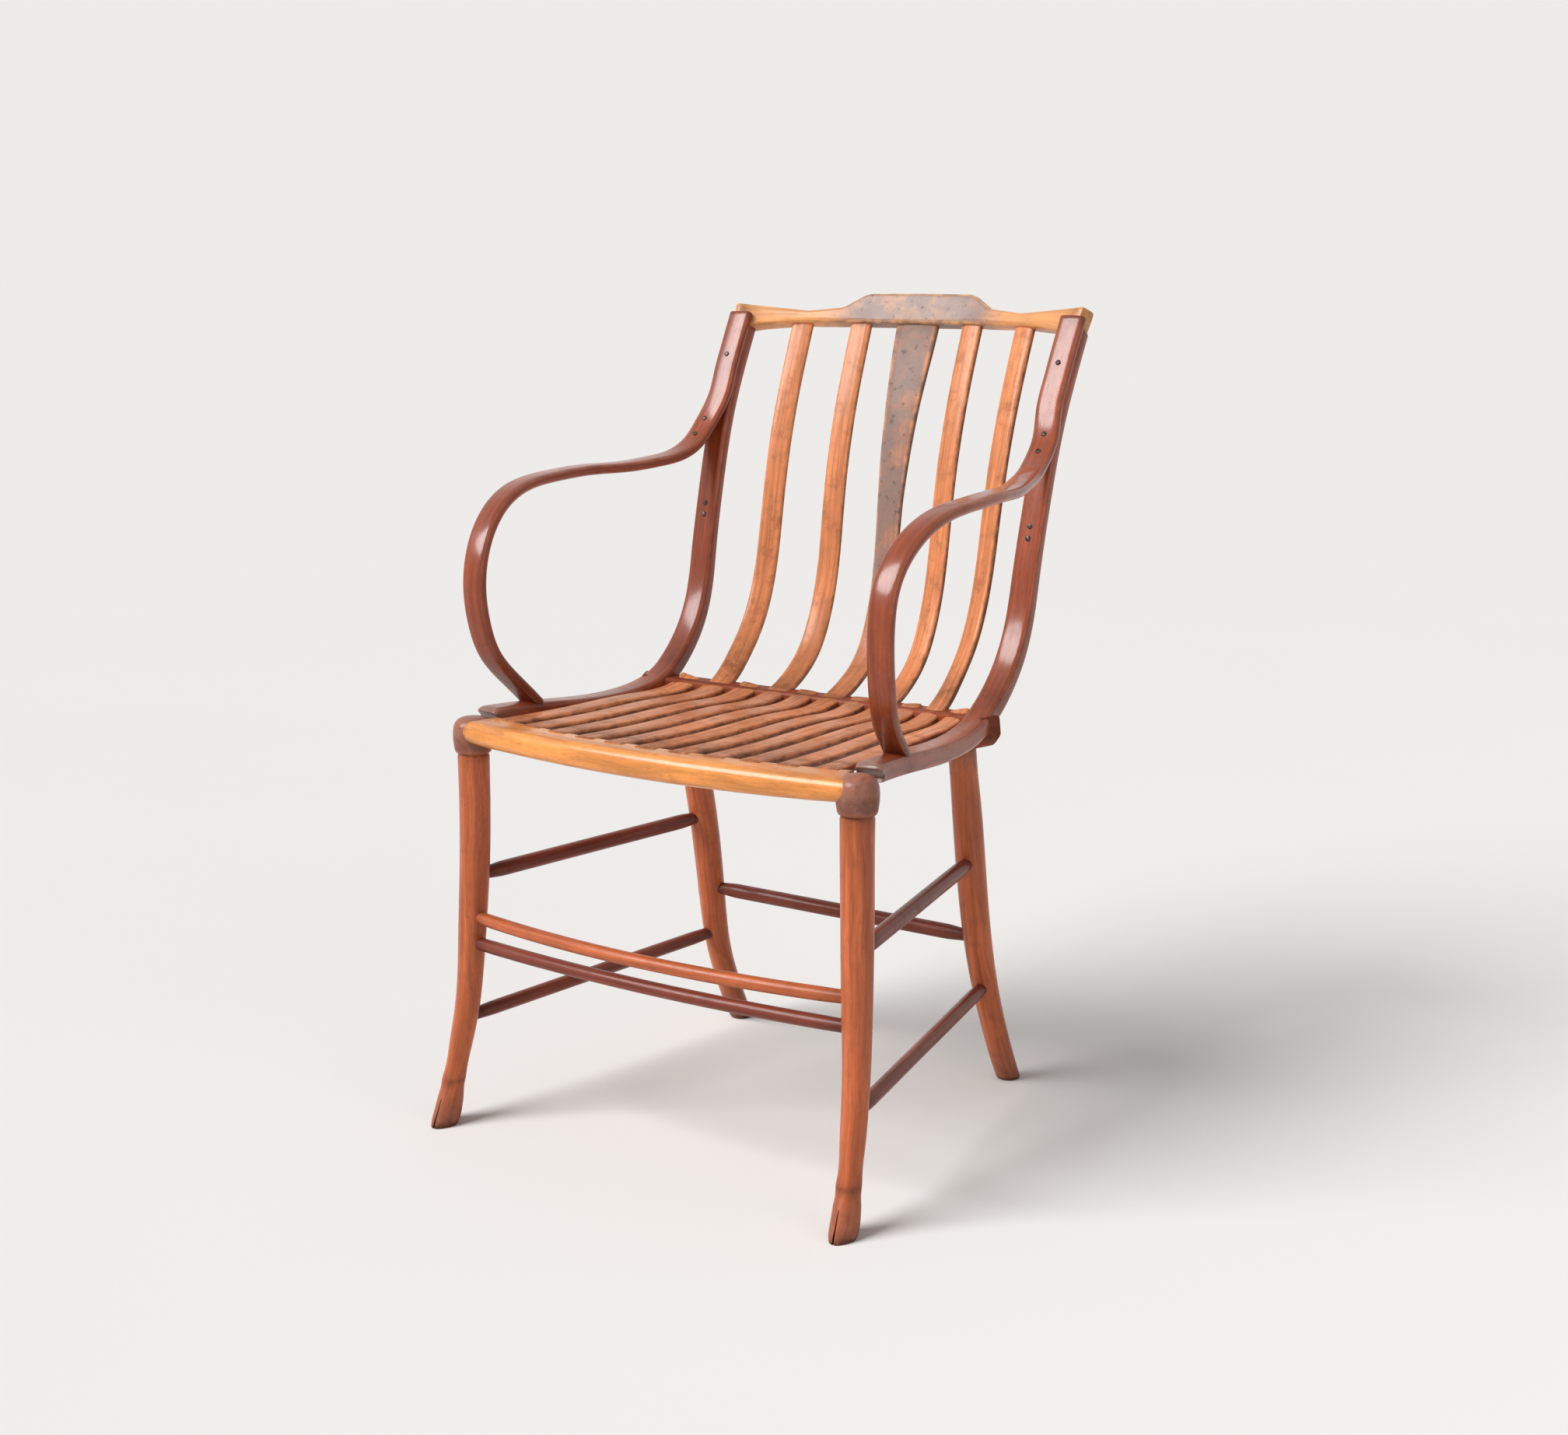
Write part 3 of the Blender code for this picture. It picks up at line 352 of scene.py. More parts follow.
class ArmchairSizes(bpy.types.PropertyGroup):
    """Small sizes of the finished surfaces."""

    arm_round: bpy.props.FloatProperty(
        name="Arm rounding", description="Radius of the arms' long edges", default=0.0042, unit="LENGTH"
    )
    rail_round: bpy.props.FloatProperty(
        name="Rail rounding", description="Radius of the side members' edges", default=0.0045, unit="LENGTH"
    )
    front_round: bpy.props.FloatProperty(
        name="Front rounding", description="Radius of the front rail's edges", default=0.0118, unit="LENGTH"
    )
    slat_round: bpy.props.FloatProperty(
        name="Slat rounding", description="Radius of the slats' long edges", default=0.0028, unit="LENGTH"
    )
    crest_round: bpy.props.FloatProperty(
        name="Crest rounding", description="Radius of the crest's edges", default=0.0042, unit="LENGTH"
    )
    crown: bpy.props.FloatProperty(
        name="Crown", description="Rise in the middle of a strip's face", default=0.0008, unit="LENGTH"
    )
    arm_crown: bpy.props.FloatProperty(
        name="Arm crown", description="Rise in the middle of an arm's face", default=0.0012, unit="LENGTH"
    )
    screw_radius: bpy.props.FloatProperty(
        name="Screw radius", description="Radius of a screw's head", default=0.0030, unit="LENGTH"
    )


class ArmchairFinish(bpy.types.PropertyGroup):
    """Colours and wear of the woods."""

    varnish: bpy.props.FloatVectorProperty(
        name="Varnish", description="Arms, sides, rear rail", subtype="COLOR", default=(0.345, 0.064, 0.018)
    )
    amber: bpy.props.FloatVectorProperty(
        name="Amber", description="Front rail", subtype="COLOR", default=(0.95, 0.345, 0.080)
    )
    worn: bpy.props.FloatVectorProperty(
        name="Worn", description="Crest", subtype="COLOR", default=(0.94, 0.41, 0.145)
    )
    seat: bpy.props.FloatVectorProperty(
        name="Seat", description="Slats and splat", subtype="COLOR", default=(0.79, 0.275, 0.108)
    )
    turned: bpy.props.FloatVectorProperty(
        name="Turned", description="Stretchers", subtype="COLOR", default=(0.23, 0.046, 0.023)
    )
    leg: bpy.props.FloatVectorProperty(
        name="Leg", description="Legs and one stretcher", subtype="COLOR", default=(0.56, 0.134, 0.044)
    )
    bare: bpy.props.FloatVectorProperty(
        name="Bare", description="Wood without its finish", subtype="COLOR", default=(0.255, 0.168, 0.140)
    )
    steel: bpy.props.FloatVectorProperty(
        name="Steel", description="Screw heads", subtype="COLOR", default=(0.06, 0.045, 0.04)
    )
    gloss: bpy.props.FloatProperty(
        name="Gloss", description="Weight of the varnish coat", default=1.0, subtype="FACTOR", min=0, max=1
    )
    rub: bpy.props.FloatProperty(
        name="Rub", description="Wear along the edges", default=0.6, subtype="FACTOR", min=0, max=1
    )
    # Scales the dirt and the painted shade that comes with it.
    soil: bpy.props.FloatProperty(
        name="Soil", description="Dirt in the joints", default=0.75, subtype="FACTOR", min=0, max=1
    )


class ArmchairStage(bpy.types.PropertyGroup):
    """Floor and light."""

    floor: bpy.props.FloatVectorProperty(
        name="Floor", description="Colour of the floor", subtype="COLOR", default=(0.85, 0.84, 0.825)
    )
    backdrop: bpy.props.FloatVectorProperty(
        name="Backdrop", description="Behind the floor", subtype="COLOR", default=(0.8485, 0.8368, 0.8168)
    )
    key: bpy.props.FloatProperty(
        name="Key", description="Strength of the lamp at the front left", default=3.45
    )
    fill: bpy.props.FloatProperty(
        name="Fill", description="Power of the lamp at the right", default=9.0, unit="POWER"
    )
    sky: bpy.props.FloatProperty(
        name="Sky", description="Strength of the light from all round", default=0.29
    )


def smooth_line(keys, fine=480):
    """Points along the natural cubic line through the key points."""
    keys = np.array(keys, float)
    steps = np.linalg.norm(np.diff(keys, axis=0), axis=1)
    t = np.concatenate([[0.0], np.cumsum(steps)])
    n = len(t)
    left = np.eye(n)
    right = np.zeros_like(keys)
    for i in range(1, n - 1):
        left[i, i - 1 : i + 2] = steps[i - 1], 2 * (steps[i - 1] + steps[i]), steps[i]
        right[i] = 6 * ((keys[i + 1] - keys[i]) / steps[i] - (keys[i] - keys[i - 1]) / steps[i - 1])
    m = np.linalg.solve(left, right)
    s = np.linspace(0, t[-1], fine)
    i = np.clip(np.searchsorted(t, s, side="right") - 1, 0, n - 2)
    after = (s - t[i])[:, None]
    before = (t[i + 1] - s)[:, None]
    w = steps[i][:, None]
    bend = (m[i] * before**3 + m[i + 1] * after**3) / (6 * w)
    return bend + (keys[i] / w - m[i] * w / 6) * before + (keys[i + 1] / w - m[i + 1] * w / 6) * after


def tangents(line):
    t = np.gradient(line, axis=0)
    return t / np.linalg.norm(t, axis=1)[:, None]


def across(along, width):
    """Width directions made square to the line, and the face normals they leave."""
    width = width - along * np.sum(width * along, axis=1)[:, None]
    width /= np.linalg.norm(width, axis=1)[:, None]
    return width, np.cross(width, along)


def travelled(line):
    """Distance along a line at each of its points."""
    return np.concatenate([[0.0], np.cumsum(np.linalg.norm(np.diff(line, axis=0), axis=1))])


def all_along(line, direction=(1.0, 0.0, 0.0)):
    """One direction, across the chair unless another is given, at each point of a line."""
    return np.tile(direction, (len(line), 1))


def at_each(along, gone, values):
    """Points or directions given along a line, read at distances along it."""
    return np.stack([np.interp(along, gone, values[:, k]) for k in range(3)], axis=1)


def mirrored(line, side):
    return line * np.array([side, 1, 1])


def side_at(y):
    """Half spread of the side members at depth y of the seat."""
    return REAR_HALF + SPLAY * np.maximum(TURN_Y - y, 0)


def rise(share):
    return SEAT_Z + np.asarray(share) * BACK_RISE


def side_line():
    """The right side member's upper and front face, from the front end to the crest."""
    line = smooth_line(SIDE_LINE)
    y, z = line[:, 0], rise(line[:, 1])
    lean = np.clip(line[:, 1], 0, 1) * (TOP_HALF - REAR_HALF)
    return np.stack([side_at(y) + lean, y, z], axis=1)


def front_rail_at(x):
    """Depth of the front rail's front and rear face at x, and its height there."""
    bow = (np.asarray(x) / side_at(FRONT_LEG_Y)) ** 2
    front = FRONT_RAIL_Y + FRONT_RAIL_BOW * bow
    rear = FRONT_RAIL_Y + FRONT_RAIL_DEEP + FRONT_RAIL_REAR_BOW * bow
    return front, rear, FRONT_RAIL_TALL * (1 - FRONT_RAIL_THIN * bow)


def front_end(y):
    """How far out the front rail reaches at depth y: slanting across the knob, then along the side rail."""
    turns = FRONT_LEG_Y + np.array(FRONT_END)
    reach = side_at(turns) - RAIL_WIDE / 2
    reach[0] = side_at(FRONT_LEG_Y) + FRONT_END_OUT
    return np.interp(y, turns, reach)


def arm_line():
    """The right arm's outer face, from its foot on the seat rail round the loop and up over the crest."""
    line = side_line()
    stile = line[line[:, 1] > TURN_Y]
    lying = stile[stile[:, 2] > SEAT_Z + ARM_LIES * ARM_RISE]
    lying = lying + across(tangents(lying), all_along(lying))[1] * (ARM_THICK + ARM_GAP)
    over = lying[-1] + tangents(lying)[-1] * ARM_OVER_CREST
    keys = [over, *lying[::-1][:: len(lying) // 3]]
    for ahead, share, out in ARM_LEAVES:
        z = SEAT_Z + share * ARM_RISE
        y = np.interp(z, stile[:, 2], stile[:, 1]) - ahead
        keys.append((side_at(y) + out, y, z))
    for y, share, out in ARM_LINE:
        keys.append((side_at(y) + out, y, SEAT_Z + share * ARM_RISE))
    for y, above, out in ARM_LANDS:
        keys.append((side_at(y) + out, y, np.interp(y, line[:, 1], line[:, 2]) + above))
    return smooth_line(keys)[::-1]


def sheet_line(u):
    """A line of the seat and back sheet at the share u of its half width, and its width directions."""
    keys = []
    for centre, edge in zip(CENTRE_LINE, EDGE_LINE):
        half = side_at(edge[0]) + max(edge[1], 0) * (TOP_HALF - REAR_HALF)
        keys.append((centre[0], rise(centre[1]), edge[0], rise(edge[1]), half))
    line = smooth_line(keys)
    bow = line[:, :2] - line[:, 2:4]
    points = np.column_stack([u * line[:, 4], line[:, 2:4] + bow * (1 - u * u)])
    width = np.column_stack([line[:, 4], -2 * u * bow])
    return points, width


def rear_rail_line(x):
    """Centre of the rear rail's upper face at x."""
    centre, edge = CENTRE_LINE[REAR_STATION], EDGE_LINE[REAR_STATION]
    u = np.asarray(x) / side_at(edge[0])
    y = edge[0] + (centre[0] - edge[0]) * (1 - u * u)
    z = rise(edge[1] + (centre[1] - edge[1]) * (1 - u * u)) - SLAT_THICK + SLAT_SUNK
    return np.stack([np.broadcast_to(x, np.shape(y)), y, z], axis=-1)


def eased(values, spacing, reach):
    """Values averaged over a reach to each side, with the ends kept."""
    window = 2 * max(1, int(reach / spacing / 2)) + 1
    padded = np.pad(values, window // 2, mode="edge")
    return np.convolve(padded, np.ones(window) / window, mode="valid")


def soil_near(along, *spots):
    """A weight along a piece that fades from each (place, reach): used for dirt, painted shade and bare
    wear.
    """
    return np.max([np.exp(-np.abs(along - place) / reach) for place, reach in spots], axis=0)


def both_ends(long, place, reach):
    """The same spot of dirt in from either end of a piece."""
    return (place, reach), (long - place, reach)


def begin():
    """Leaves edit mode and selects nothing."""
    if bpy.context.object and bpy.context.object.mode != "OBJECT":
        bpy.ops.object.mode_set(mode="OBJECT")
    bpy.ops.object.select_all(action="DESELECT")


def select_only(piece):
    begin()
    piece.select_set(True)
    bpy.context.view_layer.objects.active = piece


def cut_away(piece, cutter):
    """Cuts another shape out of the piece, and clears that shape away."""
    select_only(piece)
    cut = piece.modifiers.new("Cut", "BOOLEAN")
    cut.object = cutter
    cut.operation = "DIFFERENCE"
    cut.solver = "EXACT"
    bpy.ops.object.modifier_apply(modifier=cut.name)
    bpy.data.objects.remove(cutter)


def pick_edges(piece, test):
    """Selects the edges of the piece in edit mode that pass a test."""
    bpy.ops.mesh.select_all(action="DESELECT")
    work = bmesh.from_edit_mesh(piece.data)
    for edge in work.edges:
        edge.select_set(test(edge))
    bmesh.update_edit_mesh(piece.data)


def span(edge):
    return edge.verts[1].co - edge.verts[0].co


def on_rim(edge):
    """True for an edge between an end face and a long face."""
    ends = sorted(abs(face.normal.y) for face in edge.link_faces)
    return len(ends) == 2 and ends[0] < 0.2 and ends[1] > 0.8


def strip_blank(name, wide, long, thick, edge, cuts, columns=3, rounds=4, end=0.0012):
    """A straight strip with rounded edges: x across it, y along it from 0, z up to its face at 0."""
    begin()
    bpy.ops.mesh.primitive_cube_add(size=1, location=(0, long / 2, -thick / 2), scale=(wide, long, thick))
    bpy.ops.object.transform_apply(location=True, rotation=True, scale=True)
    strip = bpy.context.object
    strip.name = name + "_wood"
    strip.data.name = strip.name
    bpy.ops.object.mode_set(mode="EDIT")
    bpy.ops.mesh.select_mode(type="EDGE")
    pick_edges(strip, lambda e: abs(span(e).x) > wide / 2)
    bpy.ops.mesh.subdivide(number_cuts=columns)
    corner = wide / 2 * 0.99
    pick_edges(strip, lambda e: abs(span(e).y) > long / 2 and abs(e.verts[0].co.x) > corner)
    bpy.ops.mesh.bevel(offset=edge, segments=rounds, profile=0.5, affect="EDGES", clamp_overlap=False)
    pick_edges(strip, on_rim)
    bpy.ops.mesh.bevel(offset=end, segments=2, profile=0.5, affect="EDGES", clamp_overlap=False)
    for count in cuts:
        pick_edges(strip, lambda e: abs(span(e).y) > long / 200)
        bpy.ops.mesh.subdivide(number_cuts=count)
    bpy.ops.object.mode_set(mode="OBJECT")
    return strip


def turned_blank(name, profile, sides):
    """A turned piece: its profile, (radius, height) from pole to pole, is drawn and spun round z."""
    begin()
    bpy.ops.mesh.primitive_plane_add(size=0.01, location=(0, 0, 0))
    piece = bpy.context.object
    piece.name = name + "_wood"
    piece.data.name = piece.name
    bpy.ops.object.mode_set(mode="EDIT")
    bpy.ops.mesh.select_mode(type="VERT")
    bpy.ops.mesh.select_all(action="SELECT")
    bpy.ops.mesh.merge(type="CENTER")
    bpy.ops.transform.translate(value=(profile[0][0], 0, profile[0][1]))
    for (radius, z), (next_radius, next_z) in zip(profile, profile[1:]):
        move = {"value": (next_radius - radius, 0, next_z - z)}
        bpy.ops.mesh.extrude_region_move(TRANSFORM_OT_translate=move)
    bpy.ops.mesh.select_all(action="SELECT")
    bpy.ops.mesh.spin(steps=sides, angle=2 * math.pi, center=(0, 0, 0), axis=(0, 0, 1))
    bpy.ops.mesh.select_all(action="SELECT")
    bpy.ops.mesh.remove_doubles(threshold=1e-6)
    bpy.ops.mesh.normals_make_consistent(inside=False)
    bpy.ops.object.mode_set(mode="OBJECT")
    return piece


def points_of(piece):
    co = np.empty(len(piece.data.vertices) * 3)
    piece.data.vertices.foreach_get("co", co)
    return co.reshape(-1, 3)


def place_points(piece, points):
    """Puts the piece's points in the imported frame."""
    points = points + [0, FRAME_SHIFT, 0]
    piece.data.vertices.foreach_set("co", points.astype(np.float32).ravel())
    piece.data.update()


def keep_blank(piece, along, sideways, deep, soil, bare, number):
    """Keeps the wear, the dirt with its painted shade, and the blank's coordinates for the grain, in its own
    part of the plank.
    """
    blank = piece.data.attributes.new("blank", "FLOAT_VECTOR", "POINT")
    values = np.column_stack([along + PLANK_STEP * number, sideways, deep])
    blank.data.foreach_set("vector", values.astype(np.float32).ravel())
    for word, share in (("soil", soil), ("bare", bare)):
        wear = piece.data.attributes.new(word, "FLOAT", "POINT")
        wear.data.foreach_set("value", share.astype(np.float32))


def stretched(x, half, wanted, keep):
    """Offsets x within +-half moved out to +-wanted, with the outermost keep of them left as it is."""
    inner = x * (wanted - keep) / (half - keep)
    outer = np.sign(x) * (wanted - half + np.abs(x))
    return np.where(np.abs(x) > half - keep, outer, inner)


def bend_strip(piece, line, width, halves, thicks, edge, crown, soil, number, bare=0.0):
    """Bends a straight strip so that its face follows the line, as wide and thick as given along it."""
    blank = points_of(piece)
    half = np.abs(blank[:, 0]).max()
    thick = -blank[:, 2].min()
    along = blank[:, 1]
    gone = travelled(line)
    side, normal = across(tangents(line), width)
    middle, side, normal = (at_each(along, gone, values) for values in (line, side, normal))
    halves = np.interp(along, gone, np.broadcast_to(halves, len(line)))
    thicks = np.interp(along, gone, np.broadcast_to(thicks, len(line)))
    x = stretched(blank[:, 0], half, halves, edge)
    z = stretched(blank[:, 2] + thick / 2, thick / 2, thicks / 2, edge)
    deep = z / (thicks / 2)
    z = z - thicks / 2 + crown * deep * (1 - (x / halves) ** 2)
    soil = np.interp(along, gone, soil)
    bare = np.interp(along, gone, np.broadcast_to(bare, len(line)))
    keep_blank(piece, along, x / halves, deep, soil, bare, number)
    place_points(piece, middle + side * x[:, None] + normal * z[:, None])


def finish_piece(piece, material, node=None):
    """Smooth shading, material and slot, on the chair's one body, in place of the frame's plain solid."""
    select_only(piece)
    bpy.ops.object.shade_smooth_by_angle(angle=SMOOTH_BELOW)
    piece.data.materials.clear()
    piece.data.materials.append(material)
    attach(piece, "root")
    if node:
        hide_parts(node)


def new_node(tree, kind, **settings):
    made = tree.nodes.new(kind)
    for key, value in settings.items():
        setattr(made, key, value)
    return made


def feed(tree, socket, value):
    """Links a socket into another, or sets it to a plain value."""
    if isinstance(value, bpy.types.NodeSocket):
        tree.links.new(value, socket)
    else:
        socket.default_value = value


def sums(tree, operation, a, b=0.0, clamp=False):
    made = new_node(tree, "ShaderNodeMath", operation=operation, use_clamp=clamp)
    feed(tree, made.inputs[0], a)
    feed(tree, made.inputs[1], b)
    return made.outputs[0]


def vectors(tree, operation, a, b):
    made = new_node(tree, "ShaderNodeVectorMath", operation=operation)
    feed(tree, made.inputs[0], a)
    feed(tree, made.inputs[1], b)
    return made.outputs[0]


def noise(tree, vector, scale, detail=3.0, rough=0.55):
    made = new_node(tree, "ShaderNodeTexNoise")
    feed(tree, made.inputs["Vector"], vector)
    made.inputs["Scale"].default_value = scale
    made.inputs["Detail"].default_value = detail
    made.inputs["Roughness"].default_value = rough
    return made.outputs["Fac"]


def ramp(tree, value, low, high, start=0.0, end=1.0):
    """The value's run from low to high, eased, as start to end."""
    made = new_node(tree, "ShaderNodeMapRange", interpolation_type="SMOOTHSTEP")
    feed(tree, made.inputs["Value"], value)
    for name, number in (("From Min", low), ("From Max", high), ("To Min", start), ("To Max", end)):
        feed(tree, made.inputs[name], number)
    return made.outputs["Result"]


def mixed(tree, share, a, b):
    made = new_node(tree, "ShaderNodeMix", data_type="RGBA")
    feed(tree, made.inputs[0], share)
    feed(tree, made.inputs[6], a)
    feed(tree, made.inputs[7], b)
    return made.outputs[2]


def shader_group(name, takes, gives):
    """An empty node group with named sockets: takes and gives are (name, socket type) pairs."""
    group = bpy.data.node_groups.new(name, "ShaderNodeTree")
    for word, kind in takes:
        group.interface.new_socket(name=word, in_out="INPUT", socket_type=kind)
    for word, kind in gives:
        group.interface.new_socket(name=word, in_out="OUTPUT", socket_type=kind)
    return group, new_node(group, "NodeGroupInput").outputs, new_node(group, "NodeGroupOutput").inputs


def bent_grain():
    """Long streaks and short pores that run along the blank."""
    takes = [("Blank", "NodeSocketVector")]
    gives = [("Streak", "NodeSocketFloat"), ("Pore", "NodeSocketFloat"), ("Height", "NodeSocketFloat")]
    group, given, out = shader_group("bent_grain", takes, gives)
    metric = vectors(group, "MULTIPLY", given["Blank"], (1.0, 0.014, 0.006))
    sway = sums(group, "SUBTRACT", noise(group, metric, 5.0, 2.0), 0.5)
    shift = new_node(group, "ShaderNodeCombineXYZ")
    for word in ("Y", "Z"):
        feed(group, shift.inputs[word], sums(group, "MULTIPLY", sway, 0.012))
    metric = vectors(group, "ADD", metric, shift.outputs[0])
    long_streak = noise(group, vectors(group, "MULTIPLY", metric, (7.0, 230.0, 230.0)), 1.0, 5.0, 0.62)
    streak = ramp(group, long_streak, 0.30, 0.70)
    short = noise(group, vectors(group, "MULTIPLY", metric, (70.0, 1700.0, 1700.0)), 1.0, 2.0, 0.5)
    pore = ramp(group, short, 0.56, 0.70)
    height = sums(group, "SUBTRACT", sums(group, "MULTIPLY", streak, 0.5), pore)
    feed(group, out["Streak"], streak)
    feed(group, out["Pore"], pore)
    feed(group, out["Height"], height)
    return group


def old_varnish():
    """Old varnish: broad changes of tone, and small patches where it has gone dull."""
    takes = [("Position", "NodeSocketVector")]
    gives = [("Tone", "NodeSocketFloat"), ("Dull", "NodeSocketFloat")]
    group, given, out = shader_group("old_varnish", takes, gives)
    feed(group, out["Tone"], ramp(group, noise(group, given["Position"], 11.0, 3.0), 0.33, 0.67))
    feed(group, out["Dull"], ramp(group, noise(group, given["Position"], 65.0, 5.0, 0.65), 0.48, 0.72))
    return group


def rubbed_edge():
    """Wear on the long edges of a strip, broken up by noise."""
    takes = [("Blank", "NodeSocketVector"), ("Position", "NodeSocketVector")]
    group, given, out = shader_group("rubbed_edge", takes, [("Mask", "NodeSocketFloat")])
    parts = new_node(group, "ShaderNodeSeparateXYZ")
    feed(group, parts.inputs[0], given["Blank"])
    sideways = ramp(group, sums(group, "ABSOLUTE", parts.outputs["Y"]), 0.72, 0.98)
    deep = ramp(group, sums(group, "ABSOLUTE", parts.outputs["Z"]), 0.25, 0.95)
    uneven = ramp(group, noise(group, given["Position"], 48.0, 4.0, 0.6), 0.36, 0.66)
    feed(group, out["Mask"], sums(group, "MULTIPLY", sums(group, "MULTIPLY", sideways, deep), uneven))
    return group


def joint_soil():
    """Dirt and painted shade: thick in the joints and where shade is painted, and dirt in specks elsewhere.
    """
    takes = [("Soil", "NodeSocketFloat"), ("Position", "NodeSocketVector")]
    group, given, out = shader_group("joint_soil", takes, [("Mask", "NodeSocketFloat")])
    uneven = ramp(group, noise(group, given["Position"], 90.0, 5.0, 0.65), 0.25, 0.62, 0.35, 1.0)
    specks = ramp(group, noise(group, given["Position"], 420.0, 2.0, 0.5), 0.66, 0.76, 0.0, 0.5)
    dirt_and_shade = sums(group, "MULTIPLY", given["Soil"], uneven)
    feed(group, out["Mask"], sums(group, "ADD", dirt_and_shade, specks))
    return group


def side_grime():
    """Grime and painted shade down the sides and across the underside of a strip, with an uneven edge."""
    takes = [("Blank", "NodeSocketVector"), ("Position", "NodeSocketVector")]
    group, given, out = shader_group("side_grime", takes, [("Mask", "NodeSocketFloat")])
    parts = new_node(group, "ShaderNodeSeparateXYZ")
    feed(group, parts.inputs[0], given["Blank"])
    uneven = ramp(group, noise(group, given["Position"], 70.0, 4.0, 0.6), 0.3, 0.7, -0.35, 0.35)
    low = ramp(group, sums(group, "ADD", parts.outputs["Z"], uneven), -0.2, 0.75, 1.0, 0.0)
    side = ramp(group, sums(group, "ABSOLUTE", parts.outputs["Y"]), 0.70, 0.95, 0.25, 1.0)
    feed(group, out["Mask"], sums(group, "MULTIPLY", low, side))
    return group


def worn_paint():
    """What is left of an old paint: greyish patches and dark flecks."""
    takes = [("Position", "NodeSocketVector")]
    gives = [("Film", "NodeSocketFloat"), ("Fleck", "NodeSocketFloat")]
    group, given, out = shader_group("worn_paint", takes, gives)
    patches = noise(group, given["Position"], 34.0, 6.0, 0.68)
    feed(group, out["Film"], ramp(group, patches, 0.36, 0.56, 0.68, 1.0))
    feed(group, out["Fleck"], ramp(group, noise(group, given["Position"], 150.0, 4.0, 0.6), 0.58, 0.70))
    return group


def placed(tree, effect, **takes):
    """Puts a shared effect in a material; its node group is built the first time."""
    group = bpy.data.node_groups.get(effect.__name__) or effect()
    made = new_node(tree, "ShaderNodeGroup", node_tree=group)
    for word, value in takes.items():
        feed(tree, made.inputs[word.title()], value)
    return made.outputs


def times(colour, factor):
    return (*(channel * factor for channel in colour), 1.0)


def wood(name, colour, rough, rub=1.0, gloss=0.25, grime_and_shade=0.0, mottle=0.25):
    """One wood of the chair: grain, uneven varnish, bare patches, grime and painted shade down the sides,
    rubbed edges, and dirt with painted shade in places.
    """
    if name in bpy.data.materials:
        return bpy.data.materials[name]
    finish = bpy.context.scene.armchair_finish
    material = bpy.data.materials.new(name)
    material.use_nodes = True
    tree = material.node_tree
    shader = tree.nodes["Principled BSDF"]
    blank = new_node(tree, "ShaderNodeAttribute", attribute_name="blank").outputs["Vector"]
    dirt_and_shade = new_node(tree, "ShaderNodeAttribute", attribute_name="soil").outputs["Fac"]
    bare = new_node(tree, "ShaderNodeAttribute", attribute_name="bare").outputs["Fac"]
    position = new_node(tree, "ShaderNodeTexCoord").outputs["Object"]
    grain = placed(tree, bent_grain, blank=blank)
    varnish = placed(tree, old_varnish, position=position)
    shade = mixed(tree, grain["Streak"], times(colour, 0.58), times(colour, 1.12))
    darker = ((varnish["Tone"], 0.45, 0.62), (grain["Pore"], 0.35, 0.30), (varnish["Dull"], mottle, 0.36))
    for mask, weight, tone in darker:
        shade = mixed(tree, sums(tree, "MULTIPLY", mask, weight), shade, times(colour, tone))
    roughness = sums(tree, "ADD", rough, sums(tree, "MULTIPLY", varnish["Dull"], 0.16))
    paint = placed(tree, worn_paint, position=position)
    film = sums(tree, "MULTIPLY", paint["Film"], bare)
    fleck = sums(tree, "MULTIPLY", paint["Fleck"], bare)
    shade = mixed(tree, film, shade, (*finish.bare, 1.0))
    shade = mixed(tree, sums(tree, "MULTIPLY", fleck, 0.7), shade, times(finish.bare, 0.22))
    roughness = sums(tree, "ADD", roughness, sums(tree, "MULTIPLY", film, 0.12))
    # Grime and painted shade darken the lower sides and the underside of a strip.
    if grime_and_shade:
        low = placed(tree, side_grime, blank=blank, position=position)["Mask"]
        shade = mixed(tree, sums(tree, "MULTIPLY", low, grime_and_shade), shade, times(colour, 0.14))
    if rub:
        edge = placed(tree, rubbed_edge, blank=blank, position=position)["Mask"]
        pale = (colour[0] * 1.25 + 0.06, colour[1] * 1.45 + 0.05, colour[2] * 1.5 + 0.04, 1.0)
        shade = mixed(tree, sums(tree, "MULTIPLY", edge, finish.rub * rub), shade, pale)
    # Darkening: dirt in joints and specks; dirt with painted shade at feet, arm feet, rear rail; knobs lower
    # down.
    mask = placed(tree, joint_soil, soil=dirt_and_shade, position=position)["Mask"]
    mask = sums(tree, "MULTIPLY", mask, finish.soil, clamp=True)
    shade = mixed(tree, mask, shade, times(colour, 0.16))
    feed(tree, shader.inputs["Base Color"], shade)
    feed(tree, shader.inputs["Roughness"], sums(tree, "ADD", roughness, sums(tree, "MULTIPLY", mask, 0.25)))
    bump = new_node(tree, "ShaderNodeBump")
    bump.inputs["Strength"].default_value = 0.22
    bump.inputs["Distance"].default_value = 0.0004
    pits = sums(tree, "MULTIPLY", fleck, 3.0)
    feed(tree, bump.inputs["Height"], sums(tree, "SUBTRACT", grain["Height"], pits))
    feed(tree, shader.inputs["Normal"], bump.outputs["Normal"])
    shader.inputs["Coat Weight"].default_value = finish.gloss * gloss
    shader.inputs["Coat Roughness"].default_value = 0.16
    shader.inputs["Specular IOR Level"].default_value = 0.2
    return material


